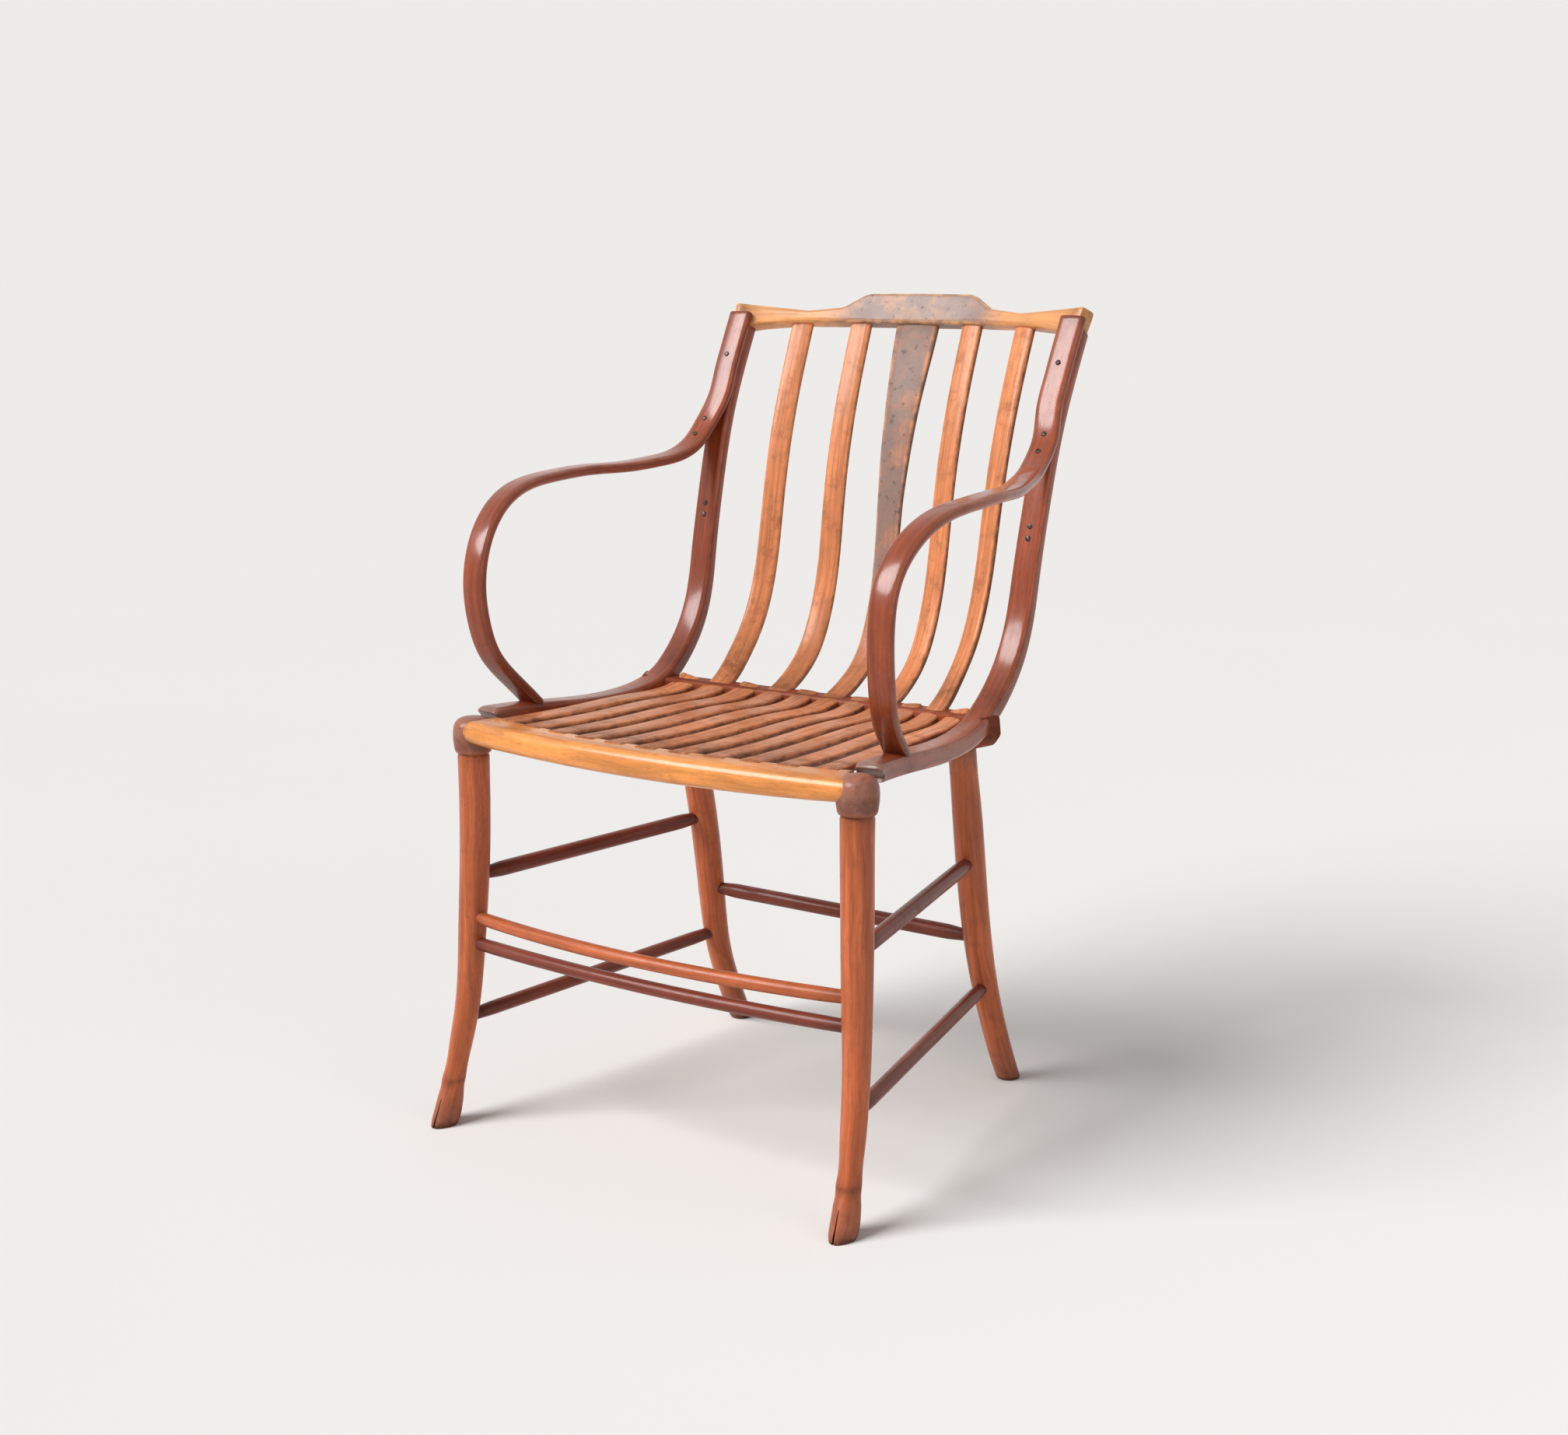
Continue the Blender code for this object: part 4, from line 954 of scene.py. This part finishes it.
def screw_steel():
    """Dark steel, rubbed bright in places."""
    if "screw_steel" in bpy.data.materials:
        return bpy.data.materials["screw_steel"]
    colour = bpy.context.scene.armchair_finish.steel
    material = bpy.data.materials.new("screw_steel")
    material.use_nodes = True
    tree = material.node_tree
    shader = tree.nodes["Principled BSDF"]
    position = new_node(tree, "ShaderNodeTexCoord").outputs["Object"]
    varnish = placed(tree, old_varnish, position=vectors(tree, "MULTIPLY", position, (9.0, 9.0, 9.0)))
    shade = mixed(tree, varnish["Tone"], times(colour, 0.6), times(colour, 2.2))
    feed(tree, shader.inputs["Base Color"], shade)
    feed(tree, shader.inputs["Roughness"], ramp(tree, varnish["Dull"], 0.0, 1.0, 0.35, 0.6))
    shader.inputs["Metallic"].default_value = 0.8
    return material


class ARMCHAIR_OT_side_members(bpy.types.Operator):
    """Bend the two side members: seat rail and back stile in one piece"""

    bl_idname = "armchair.side_members"
    bl_label = "Side members"

    def execute(self, context):
        sizes = context.scene.armchair_sizes
        material = wood("stile_varnish", context.scene.armchair_finish.varnish, rough=0.30, gloss=0.5)
        for number, (word, side) in enumerate(SIDES):
            line = side_line()
            line = line[line[:, 1] > RAIL_START]
            line = np.vstack([line, line[-1] + tangents(line)[-1] * STILE_IN_CREST])
            gone = travelled(line)
            up = np.clip((line[:, 2] - SEAT_Z) / (BACK_RISE / 2), 0, 1)
            tip = 1 - np.sqrt(1 - np.clip(1 - gone / RAIL_EASE, 0, 1) ** 2)
            thicks = RAIL_THICK + (STILE_THICK - RAIL_THICK) * up - RAIL_DROP * tip
            line = line - np.outer(RAIL_DROP * tip, [0, 0, 1])
            bare = STILE_END_BARE * soil_near(gone, (0.0, STILE_END_BARE_REACH))
            soil = STILE_SOIL_WEIGHT * soil_near(gone, *STILE_SOIL, (gone[-1], END_SOIL))
            line = mirrored(line, side)
            name = "stile_rail_" + word
            edge = sizes.rail_round
            blank = (name, RAIL_WIDE, gone[-1], RAIL_THICK, edge)
            piece = strip_blank(*blank, cuts=(19, 8), rounds=5, end=0.0025)
            half = RAIL_WIDE / 2
            bend_strip(piece, line, all_along(line), half, thicks, edge, sizes.crown, soil, number, bare)
            finish_piece(piece, material, name)
        return {"FINISHED"}


class ARMCHAIR_OT_arms(bpy.types.Operator):
    """Bend the two arms"""

    bl_idname = "armchair.arms"
    bl_label = "Arms"

    def execute(self, context):
        sizes = context.scene.armchair_sizes
        material = wood("arm_varnish", context.scene.armchair_finish.varnish, rough=0.28, gloss=0.55)
        for number, (word, side) in enumerate(SIDES):
            line = mirrored(arm_line(), side)
            gone = travelled(line)
            share = np.clip((gone[-1] - gone) / gone[-1] / ARM_NARROWS, 0, 1)
            halves = (ARM_WIDE_TOP + (ARM_WIDE_LOOP - ARM_WIDE_TOP) * share) / 2
            # Dirt and painted shade from the arm's foot up its loop; dirt at its top.
            soil = soil_near(gone, (0.0, ARM_FOOT_SOIL_AND_SHADE), (gone[-1], ARM_TOP_SOIL))
            name = "arm_" + word
            edge, crown = sizes.arm_round, sizes.arm_crown
            piece = strip_blank(name, ARM_WIDE_TOP, gone[-1], ARM_THICK, edge, cuts=(19, 9), end=0.002)
            bend_strip(piece, line, all_along(line), halves, ARM_THICK, edge, crown, soil, 3 + number)
            finish_piece(piece, material, name)
        return {"FINISHED"}


def slat_name(k):
    if k == 0:
        return "back_splat"
    kind, places = ("seat", ("inner", "middle", "outer")) if k % 2 else ("back", ("inner", "outer"))
    return f"{kind}_slat_{'left' if k < 0 else 'right'}_{places[(abs(k) - 1) // 2]}"


class ARMCHAIR_OT_slats(bpy.types.Operator):
    """Bend the seat slats, the back slats and the splat"""

    bl_idname = "armchair.slats"
    bl_label = "Slats"

    def execute(self, context):
        sizes = context.scene.armchair_sizes
        finish = context.scene.armchair_finish
        # Both slat woods get grime and painted shade down the sides and underneath.
        seat = wood("slat_varnish", finish.seat, rough=0.38, gloss=0.2, grime_and_shade=0.9, mottle=0.6)
        painted = wood("splat_paint", finish.seat, rough=0.46, gloss=0.1, grime_and_shade=0.9, mottle=0.6)
        for k in range(-SLATS, SLATS + 1):
            line, width = sheet_line(k * SLAT_PITCH)
            cuts = (19, 8)
            if k % 2:
                last = rear_rail_line(line[:, 0])[:, 1] + REAR_RAIL_DEEP / 2 - SLAT_SHORT
                stop = np.argmax(line[:, 1] > last)
                line, width = line[:stop], width[:stop]
                cuts = (15, 3)
            else:
                line = np.vstack([line, line[-1] + tangents(line)[-1] * SLAT_IN_CREST])
                width = np.vstack([width, width[-1]])
            gone = travelled(line)
            halves = np.full(len(line), SLAT_WIDE / 2)
            if k == 0:
                halves = np.interp((line[:, 2] - SEAT_Z) / BACK_RISE, *zip(*SPLAT_WIDTHS)) / 2
                halves = eased(halves, gone[-1] / len(gone), SPLAT_EASE)
            stain = SLAT_STAIN if abs(k) <= STAINED_SLATS else SLAT_STAIN_SMALL
            soil = soil_near(gone, *SLAT_SOIL, stain)
            name = slat_name(k)
            edge = sizes.slat_round
            piece = strip_blank(name, SLAT_WIDE, gone[-1], SLAT_THICK, edge, cuts, rounds=3, end=0.001)
            bare = np.clip((line[:, 2] - SEAT_Z) / BACK_RISE / SPLAT_BARE_FROM, 0, 1) * (k == 0)
            bend_strip(piece, line, width, halves, SLAT_THICK, edge, sizes.crown, soil, 12 + k, bare)
            finish_piece(piece, seat if k else painted, name)
        return {"FINISHED"}


class ARMCHAIR_OT_seat_rails(bpy.types.Operator):
    """Shape the front and rear seat rails"""

    bl_idname = "armchair.seat_rails"
    bl_label = "Seat rails"

    def execute(self, context):
        sizes = context.scene.armchair_sizes
        finish = context.scene.armchair_finish
        reach = float(side_at(FRONT_LEG_Y)) + FRONT_END_OUT
        x = np.linspace(-reach, reach, LINE_POINTS)
        front, rear, tall = front_rail_at(x)
        top = rise(EDGE_LINE[0][1]) - FRONT_RAIL_BELOW
        line = np.stack([x, (front + rear) / 2, np.full(len(x), top)], axis=1)
        section = ((rear - front) / 2, tall, sizes.front_round)
        material = wood("front_rail_amber", finish.amber, rough=0.28, rub=0.5, gloss=0.5)
        piece = self.shape("front_seat_rail", line, section, FRONT_RAIL_SOIL, 18)
        self.trim(piece, reach)
        finish_piece(piece, material, "front_seat_rail")
        line = rear_rail_line(np.linspace(-REAR_RAIL_HALF, REAR_RAIL_HALF, LINE_POINTS))
        tall = REAR_RAIL_TALL * np.interp(REAR_RAIL_HALF - np.abs(line[:, 0]), *zip(*REAR_RAIL_END))
        section = (np.full(len(line), REAR_RAIL_DEEP / 2), tall, sizes.rail_round)
        material = wood("rear_rail_varnish", finish.varnish, rough=0.44, gloss=0.1)
        # Dirt and painted shade darken the rear rail all along, under the slats.
        piece = self.shape("rear_seat_rail", line, section, REAR_RAIL_SOIL_AND_SHADE, 19)
        finish_piece(piece, material, "rear_seat_rail")
        return {"FINISHED"}

    def shape(self, name, line, section, least, number):
        """Bends a rail to its line; least is its dirt away from its ends, with painted shade on the rear
        rail.
        """
        halves, tall, edge = section
        gone = travelled(line)
        soil = np.maximum(least, soil_near(gone, *both_ends(gone[-1], 0.0, END_SOIL)))
        blank = (name, 2 * halves[0], gone[-1], tall[0], edge)
        piece = strip_blank(*blank, cuts=(19, 6), columns=2, rounds=8, end=0.0015)
        forward = all_along(line, (0.0, -1.0, 0.0))
        bend_strip(piece, line, forward, halves, tall, edge, 0.0, soil, number)
        return piece

    def trim(self, piece, reach):
        """Draws the front rail's ends in to their slant across the knobs."""
        points = points_of(piece) - [0, FRAME_SHIFT, 0]
        x = np.abs(points[:, 0])
        near = np.clip(1 - (reach - x) / FRONT_RAIL_DEEP, 0, 1)
        points[:, 0] = np.sign(points[:, 0]) * (x - near * (reach - front_end(points[:, 1])))
        place_points(piece, points)


class ARMCHAIR_OT_crest(bpy.types.Operator):
    """Shape the crest rail with its tablet"""

    bl_idname = "armchair.crest"
    bl_label = "Crest"

    def execute(self, context):
        sizes = context.scene.armchair_sizes
        x = np.linspace(CREST_HALF, -CREST_HALF, 2 * LINE_POINTS - 1)
        spacing = 2 * CREST_HALF / len(x)
        shares = np.abs(x) / CREST_HALF
        top = eased(np.interp(shares, *zip(*CREST_TOP)), spacing, CREST_EASE)
        low = eased(np.interp(shares, *zip(*CREST_LOW)), spacing, 3 * CREST_EASE)
        centre, edge = CENTRE_LINE[-1][0], EDGE_LINE[-1][0]
        bow = edge + (centre - edge) * (1 - (x / TOP_HALF) ** 2)
        face = bow + (SLAT_THICK - CREST_THICK) / 2 / math.cos(CREST_LEAN)
        height = (top + low) / 2
        line = np.stack([x, face + height * math.tan(CREST_LEAN), rise(1.0) + height], axis=1)
        up = all_along(line, (0.0, math.sin(CREST_LEAN), math.cos(CREST_LEAN)))
        halves = (top - low) / 2 / math.cos(CREST_LEAN)
        gone = travelled(line)
        soil = soil_near(gone, *both_ends(gone[-1], *CREST_SOIL))
        round_edge = sizes.crest_round
        blank = ("crest_rail", 2 * halves.mean(), gone[-1], CREST_THICK, round_edge)
        piece = strip_blank(*blank, cuts=(19, 8), columns=4, rounds=5, end=0.004)
        bare = np.clip((TABLET_BARE_END - shares) / TABLET_BARE_FADE, CREST_LEAST_BARE, 1)
        bend_strip(piece, line, up, halves, CREST_THICK, round_edge, sizes.crown, soil, 21, bare)
        material = wood("crest_paint", context.scene.armchair_finish.worn, rough=0.36, gloss=0.25)
        finish_piece(piece, material, "crest_rail")
        return {"FINISHED"}


def leg_run(keys, height):
    """Even points up a leg: height, sweep, outward shift and radius."""
    return smooth_line([(share * height, sweep, out, radius) for share, sweep, out, radius in keys], 90)


def rear_leg_height():
    return float(rear_rail_line(REAR_LEG_X)[2]) - REAR_RAIL_TALL


def leg_axis(end, side, z):
    """Points on the axis of a leg at heights z."""
    if end == "front":
        run = leg_run(FRONT_LEG, SEAT_Z - KNOB_BELOW)
        top, forward = (float(side_at(FRONT_LEG_Y)), FRONT_LEG_Y), -1
    else:
        run = leg_run(REAR_LEG, rear_leg_height())
        top, forward = (REAR_LEG_X, float(rear_rail_line(REAR_LEG_X)[1]) + REAR_LEG_SET), 1
    z = np.atleast_1d(z)
    rest = np.concatenate([run, [[run[-1, 0] + LEG_TOP_EASE, 0, 0, run[-1, 3]]]])
    sweep = np.interp(z, rest[:, 0], rest[:, 1])
    out = np.interp(z, rest[:, 0], rest[:, 2])
    return np.stack([side * (top[0] + out), top[1] + forward * sweep, z], axis=1)


def hoof_cleft():
    """A three-sided wedge, tapering upwards, that cuts the cleft into a hoof just off the blank's edges."""
    begin()
    reach = FRONT_LEG[0][3] + HOOF_TOE
    bpy.ops.mesh.primitive_cone_add(
        vertices=3,
        radius1=1.0,
        radius2=HOOF_CLEFT_TOP,
        depth=1.0,
        location=(HOOF_CLEFT_OFF, -reach, HOOF_CLEFT_TALL / 2 - HOOF_CLEFT),
        scale=(HOOF_CLEFT / math.sqrt(3), reach * HOOF_CLEFT_DEEP, HOOF_CLEFT_TALL),
    )
    bpy.ops.object.transform_apply(location=True, rotation=True, scale=True)
    return bpy.context.object


class ARMCHAIR_OT_legs(bpy.types.Operator):
    """Turn and bend the four legs, and cut the clefts of the front ones' hooves"""

    bl_idname = "armchair.legs"
    bl_label = "Legs"

    def execute(self, context):
        finish = context.scene.armchair_finish
        material = wood("leg_varnish", finish.leg, rough=0.33, rub=0.0)
        for number, (word, side) in enumerate(SIDES):
            self.front("front_leg_" + word, side, material, 24 + number)
            self.rear("rear_leg_" + word, side, material, 27 + number)
        return {"FINISHED"}

    def front(self, name, side, material, number):
        height = SEAT_Z - KNOB_BELOW
        shaft = leg_run(FRONT_LEG, height)
        knob = smooth_line([(height + up, radius) for up, radius in KNOB], 48)
        profile = self.shaft_profile(shaft)
        profile += [(radius, z) for z, radius in knob[:-1]] + [(0.0, knob[-1, 0])]
        piece = turned_blank(name, profile, FRONT_LEG_SIDES)
        self.hoof(piece)
        # Dirt and painted contact shadow at the foot; dirt at the hoof's top and the knob's foot.
        joints = ((0.0, FRONT_FOOT_SOIL_AND_SHADE), (HOOF_TALL, HOOF_TOP_SOIL), (height, KNOB_FOOT_SOIL))
        self.bend(piece, "front", side, joints, number, height)
        finish_piece(piece, material, name)

    def rear(self, name, side, material, number):
        height = rear_leg_height()
        shaft = leg_run(REAR_LEG, height)
        profile = self.shaft_profile(shaft)
        profile += [(REAR_LEG[-1][3], height + LEG_IN_RAIL), (0.0, height + LEG_IN_RAIL)]
        piece = turned_blank(name, profile, REAR_LEG_SIDES)
        # Dirt and painted contact shadow at the foot; dirt at the top.
        joints = ((0.0, REAR_FOOT_SOIL_AND_SHADE), (height, REAR_LEG_TOP_SOIL))
        self.bend(piece, "rear", side, joints, number, height)
        finish_piece(piece, material, name)

    def shaft_profile(self, shaft):
        """(radius, height) from the middle of the flat foot and up the shaft."""
        foot = shaft[0, 3]
        profile = [(0.0, 0.0), (foot - FOOT_EDGE_IN, 0.0), (foot, FOOT_EDGE_UP)]
        return profile + [(point[3], point[0]) for point in shaft[1:]]

    def hoof(self, piece):
        """Draws the toe forward and cuts the cleft."""
        points = points_of(piece)
        radius = np.hypot(points[:, 0], points[:, 1])
        front = np.clip(-points[:, 1] / np.maximum(radius, 1e-6), 0, 1)
        toe = HOOF_TOE * np.clip(1 - points[:, 2] / HOOF_TALL, 0, 1)
        points[:, 1] -= toe * front**2 * np.clip(radius / FRONT_LEG[0][3], 0, 1)
        piece.data.vertices.foreach_set("co", points.astype(np.float32).ravel())
        piece.data.update()
        cut_away(piece, hoof_cleft())

    def bend(self, piece, end, side, joints, number, height):
        """Moves each level ring of the straight turned leg onto the leg's axis."""
        blank = points_of(piece)
        z = blank[:, 2]
        step = 0.002
        axis = leg_axis(end, side, z)
        lean = (leg_axis(end, side, z + step) - leg_axis(end, side, z - step))[:, :2] / (2 * step)
        lean[z < HOOF_TALL * (end == "front")] = 0
        radius = max(key[3] for key in (FRONT_LEG if end == "front" else REAR_LEG))
        knob = np.clip((z - height) / KNOB_EDGE, 0, 1)
        # The knob is darker below a height above the shaft.
        knob_dark = knob * np.clip((height + KNOB_DARK_TOP - z) / KNOB_DARK_FADE, *KNOB_DARK)
        # The soles darken towards the floor with dirt and painted contact shadow.
        weight, reach = UNDER_FOOT_SOIL_AND_SHADE
        soil = np.max([soil_near(z, *joints), knob_dark, weight * np.exp(-z / reach)], axis=0)
        bare = KNOB_BARE * knob + FOOT_BARE * np.clip((HOOF_TALL - z) / HOOF_TALL, 0, 1)
        keep_blank(piece, z, blank[:, 0] / radius, blank[:, 1] / radius, soil, bare, number)
        points = axis.copy()
        points[:, :2] += blank[:, :2] * np.hypot(1, lean)
        place_points(piece, points)


class ARMCHAIR_OT_stretchers(bpy.types.Operator):
    """Turn and bow the seven stretchers"""

    bl_idname = "armchair.stretchers"
    bl_label = "Stretchers"

    def execute(self, context):
        finish = context.scene.armchair_finish
        dark = wood("stretcher_varnish", finish.turned, rough=0.33, rub=0.0, gloss=0.2)
        light = wood("front_stretcher_varnish", finish.leg, rough=0.33, rub=0.0, gloss=0.2)
        spans = [("rear_stretcher", REAR_ONLY, ("rear", -1), ("rear", 1))]
        for word, side in SIDES:
            for place, sizes in (("upper", SIDE_UPPER), ("lower", SIDE_LOWER)):
                spans.append((f"side_stretcher_{place}_{word}", sizes, ("front", side), ("rear", side)))
        for place, sizes in (("upper", FRONT_UPPER), ("lower", FRONT_LOWER)):
            spans.append((f"front_stretcher_{place}", sizes, ("front", -1), ("front", 1)))
        for number, (name, sizes, first, second) in enumerate(spans):
            material = light if name == "front_stretcher_upper" else dark
            self.turn(name, sizes, first, second, material, 32 + number)
        return {"FINISHED"}

    def turn(self, name, sizes, first, second, material, number):
        low, high, radius, bow = sizes
        start, end = leg_axis(*first, low)[0], leg_axis(*second, high)[0]
        share = np.linspace(0, 1, LINE_POINTS)
        line = start + share[:, None] * (end - start) - np.outer(4 * share * (1 - share) * bow, [0, 1, 0])
        near = np.minimum(travelled(line), travelled(line)[-1] - travelled(line))
        line = line[near >= STRETCHER_IN]
        gone = travelled(line)
        stops = np.linspace(0, gone[-1], STRETCHER_STOPS)
        near = STRETCHER_TAPER_RATE * np.minimum(stops, gone[-1] - stops) / STRETCHER_TAPER
        near = np.clip(near - STRETCHER_TAPER_START, 0, 1)
        radii = STRETCHER_END_R + (radius - STRETCHER_END_R) * near * near * (3 - 2 * near)
        piece = turned_blank(name, [(0.0, 0.0), *zip(radii, stops), (0.0, gone[-1])], STRETCHER_SIDES)
        blank = points_of(piece)
        along = blank[:, 2]
        soil = soil_near(along, *both_ends(gone[-1], *STRETCHER_SOIL))
        bare = np.zeros_like(along)
        keep_blank(piece, along, blank[:, 0] / radius, blank[:, 1] / radius, soil, bare, number)
        side, normal = across(tangents(line), all_along(line, (0.0, 0.0, 1.0)))
        middle, side, normal = (at_each(along, gone, values) for values in (line, side, normal))
        place_points(piece, middle + side * blank[:, :1] - normal * blank[:, 1:2])
        finish_piece(piece, material, name)


class ARMCHAIR_OT_screws(bpy.types.Operator):
    """Set the slotted screws into the arms and stiles"""

    bl_idname = "armchair.screws"
    bl_label = "Screws"

    def execute(self, context):
        sizes = context.scene.armchair_sizes
        material = screw_steel()
        model = self.head(sizes.screw_radius)
        for word, side in SIDES:
            for kind, line, heights, crown in (
                ("arm", arm_line(), ARM_SCREWS, sizes.arm_crown),
                ("stile", side_line(), STILE_SCREWS, sizes.crown),
            ):
                line = mirrored(line, side)
                line = line[line[:, 1] > TURN_Y]
                normals = across(tangents(line), all_along(line))[1]
                for number, z in enumerate(heights):
                    at = np.argmin(np.abs(line[:, 2] - z))
                    point = line[at] + normals[at] * crown
                    name = f"screw_{kind}_{word}_{number + 1}"
                    self.set_in(model, name, point, normals[at], number, material)
        bpy.data.objects.remove(model)
        return {"FINISHED"}

    def head(self, radius):
        """A low dome with a slot across it, its face up."""
        begin()
        bpy.ops.mesh.primitive_cylinder_add(
            vertices=SCREW_SIDES, radius=radius, depth=radius, location=(0, 0, 0)
        )
        head = bpy.context.object
        bpy.ops.object.mode_set(mode="EDIT")
        bpy.ops.mesh.select_mode(type="EDGE")
        pick_edges(head, lambda e: min(v.co.z for v in e.verts) > 0)
        bpy.ops.mesh.bevel(offset=radius * SCREW_ROUND, segments=4, profile=0.5, affect="EDGES")
        bpy.ops.object.mode_set(mode="OBJECT")
        begin()
        blade = [share * radius for share in SCREW_SLOT]
        bpy.ops.mesh.primitive_cube_add(size=1, location=(0, 0, radius / 2), scale=blade)
        cut_away(head, bpy.context.object)
        return head

    def set_in(self, model, name, point, normal, number, material):
        """A copy of the head, sunk in the wood at a point, its slot turned its own way."""
        piece = bpy.data.objects.new(name, model.data.copy())
        bpy.context.scene.collection.objects.link(piece)
        turn = Vector(normal).to_track_quat("Z", "Y").to_matrix().to_4x4()
        spin = Matrix.Rotation(SCREW_TURN + SCREW_NEXT_TURN * number, 4, "Z")
        place = Matrix.Translation(Vector(point) + Vector((0, FRAME_SHIFT, 0)))
        piece.data.transform(place @ turn @ spin)
        finish_piece(piece, material)


class ARMCHAIR_OT_stage(bpy.types.Operator):
    """Lay the floor and set the lamps and the camera"""

    bl_idname = "armchair.stage"
    bl_label = "Stage"

    def execute(self, context):
        stage = context.scene.armchair_stage
        self.floor(stage)
        self.sky(stage)
        self.key_lamp(stage)
        self.fill_lamp(stage)
        self.camera()
        context.scene.view_settings.view_transform = "Standard"
        return {"FINISHED"}

    def floor(self, stage):
        begin()
        bpy.ops.mesh.primitive_plane_add(size=FLOOR_SIZE, location=(0, 0, 0))
        floor = bpy.context.object
        floor.name = "floor"
        material = bpy.data.materials.new("floor_paper")
        material.use_nodes = True
        tree = material.node_tree
        shader = tree.nodes["Principled BSDF"]
        position = new_node(tree, "ShaderNodeTexCoord").outputs["Object"]
        clouds = noise(tree, position, 1.2, 2.0)
        shade = mixed(tree, clouds, times(stage.floor, 0.985), (*stage.floor, 1.0))
        feed(tree, shader.inputs["Base Color"], shade)
        shader.inputs["Roughness"].default_value = 0.9
        shader.inputs["Specular IOR Level"].default_value = 0.0
        floor.data.materials.append(material)

    def sky(self, stage):
        """Soft light from all round; the camera and what mirrors or shines through see a pale backdrop."""
        world = bpy.data.worlds.new("studio")
        world.use_nodes = True
        bpy.context.scene.world = world
        tree = world.node_tree
        light = tree.nodes["Background"]
        light.inputs["Color"].default_value = SKY_TINT
        light.inputs["Strength"].default_value = stage.sky
        seen = new_node(tree, "ShaderNodeBackground")
        seen.inputs["Color"].default_value = (*stage.backdrop, 1.0)
        rays = new_node(tree, "ShaderNodeLightPath")
        mix = new_node(tree, "ShaderNodeMixShader")
        direct = sums(tree, "MAXIMUM", rays.outputs["Is Camera Ray"], rays.outputs["Is Glossy Ray"])
        direct = sums(tree, "MAXIMUM", direct, rays.outputs["Is Transmission Ray"])
        feed(tree, mix.inputs[0], direct)
        feed(tree, mix.inputs[1], light.outputs[0])
        feed(tree, mix.inputs[2], seen.outputs[0])
        feed(tree, tree.nodes["World Output"].inputs["Surface"], mix.outputs[0])

    def add_lamp(self, data, place):
        lamp = bpy.data.objects.new(data.name, data)
        bpy.context.scene.collection.objects.link(lamp)
        lamp.location = place
        aim = Vector((0, 0, CAMERA_AIM_Z)) - Vector(place)
        lamp.rotation_euler = aim.to_track_quat("-Z", "Y").to_euler()

    def key_lamp(self, stage):
        """A broad lamp so far off that the floor is lit evenly."""
        data = bpy.data.lights.new("key", "SUN")
        data.energy = stage.key
        data.angle = KEY_ANGLE
        self.add_lamp(data, KEY_PLACE)

    def fill_lamp(self, stage):
        data = bpy.data.lights.new("fill", "AREA")
        data.size = FILL_SIZE
        data.energy = stage.fill
        self.add_lamp(data, FILL_PLACE)

    def camera(self):
        a, e = CAMERA_AZIMUTH, CAMERA_ELEVATION
        back = Vector((math.sin(a) * math.cos(e), -math.cos(a) * math.cos(e), math.sin(e)))
        right = Vector((math.cos(a), math.sin(a), 0))
        up = back.cross(right)
        data = bpy.data.cameras.new("camera")
        data.lens = CAMERA_LENS
        data.sensor_width = CAMERA_SENSOR
        data.clip_end = CAMERA_SEES
        camera = bpy.data.objects.new("camera", data)
        bpy.context.scene.collection.objects.link(camera)
        aim = Vector((0, FRAME_SHIFT, CAMERA_AIM_Z)) + right * CAMERA_RIGHT + up * CAMERA_UP
        camera.location = aim + back * CAMERA_DISTANCE
        camera.rotation_euler = Matrix((right, up, back)).transposed().to_euler()
        bpy.context.scene.camera = camera


class ARMCHAIR_PT_panel(bpy.types.Panel):
    """The armchair's pieces, sizes and finishes"""

    bl_idname = "ARMCHAIR_PT_panel"
    bl_label = "Bentwood armchair"
    bl_space_type = "VIEW_3D"
    bl_region_type = "UI"
    bl_category = "Armchair"

    def draw(self, context):
        for operator in OPERATORS:
            self.layout.operator(operator.bl_idname)
        scene = context.scene
        for group in (scene.armchair_sizes, scene.armchair_finish, scene.armchair_stage):
            box = self.layout.box()
            for word in group.__annotations__:
                box.prop(group, word)


GROUPS = (ArmchairSizes, ArmchairFinish, ArmchairStage)
OPERATORS = (
    ARMCHAIR_OT_side_members,
    ARMCHAIR_OT_arms,
    ARMCHAIR_OT_slats,
    ARMCHAIR_OT_seat_rails,
    ARMCHAIR_OT_crest,
    ARMCHAIR_OT_legs,
    ARMCHAIR_OT_stretchers,
    ARMCHAIR_OT_screws,
    ARMCHAIR_OT_stage,
)


def register():
    for made in (*GROUPS, *OPERATORS, ARMCHAIR_PT_panel):
        bpy.utils.register_class(made)
    bpy.types.Scene.armchair_sizes = bpy.props.PointerProperty(type=ArmchairSizes)
    bpy.types.Scene.armchair_finish = bpy.props.PointerProperty(type=ArmchairFinish)
    bpy.types.Scene.armchair_stage = bpy.props.PointerProperty(type=ArmchairStage)


def unregister():
    del bpy.types.Scene.armchair_stage
    del bpy.types.Scene.armchair_finish
    del bpy.types.Scene.armchair_sizes
    for made in reversed((*GROUPS, *OPERATORS, ARMCHAIR_PT_panel)):
        bpy.utils.unregister_class(made)


def main():
    register()
    for operator in OPERATORS:
        getattr(bpy.ops.armchair, operator.bl_idname.split(".")[1])()


if __name__ == "__main__":
    main()
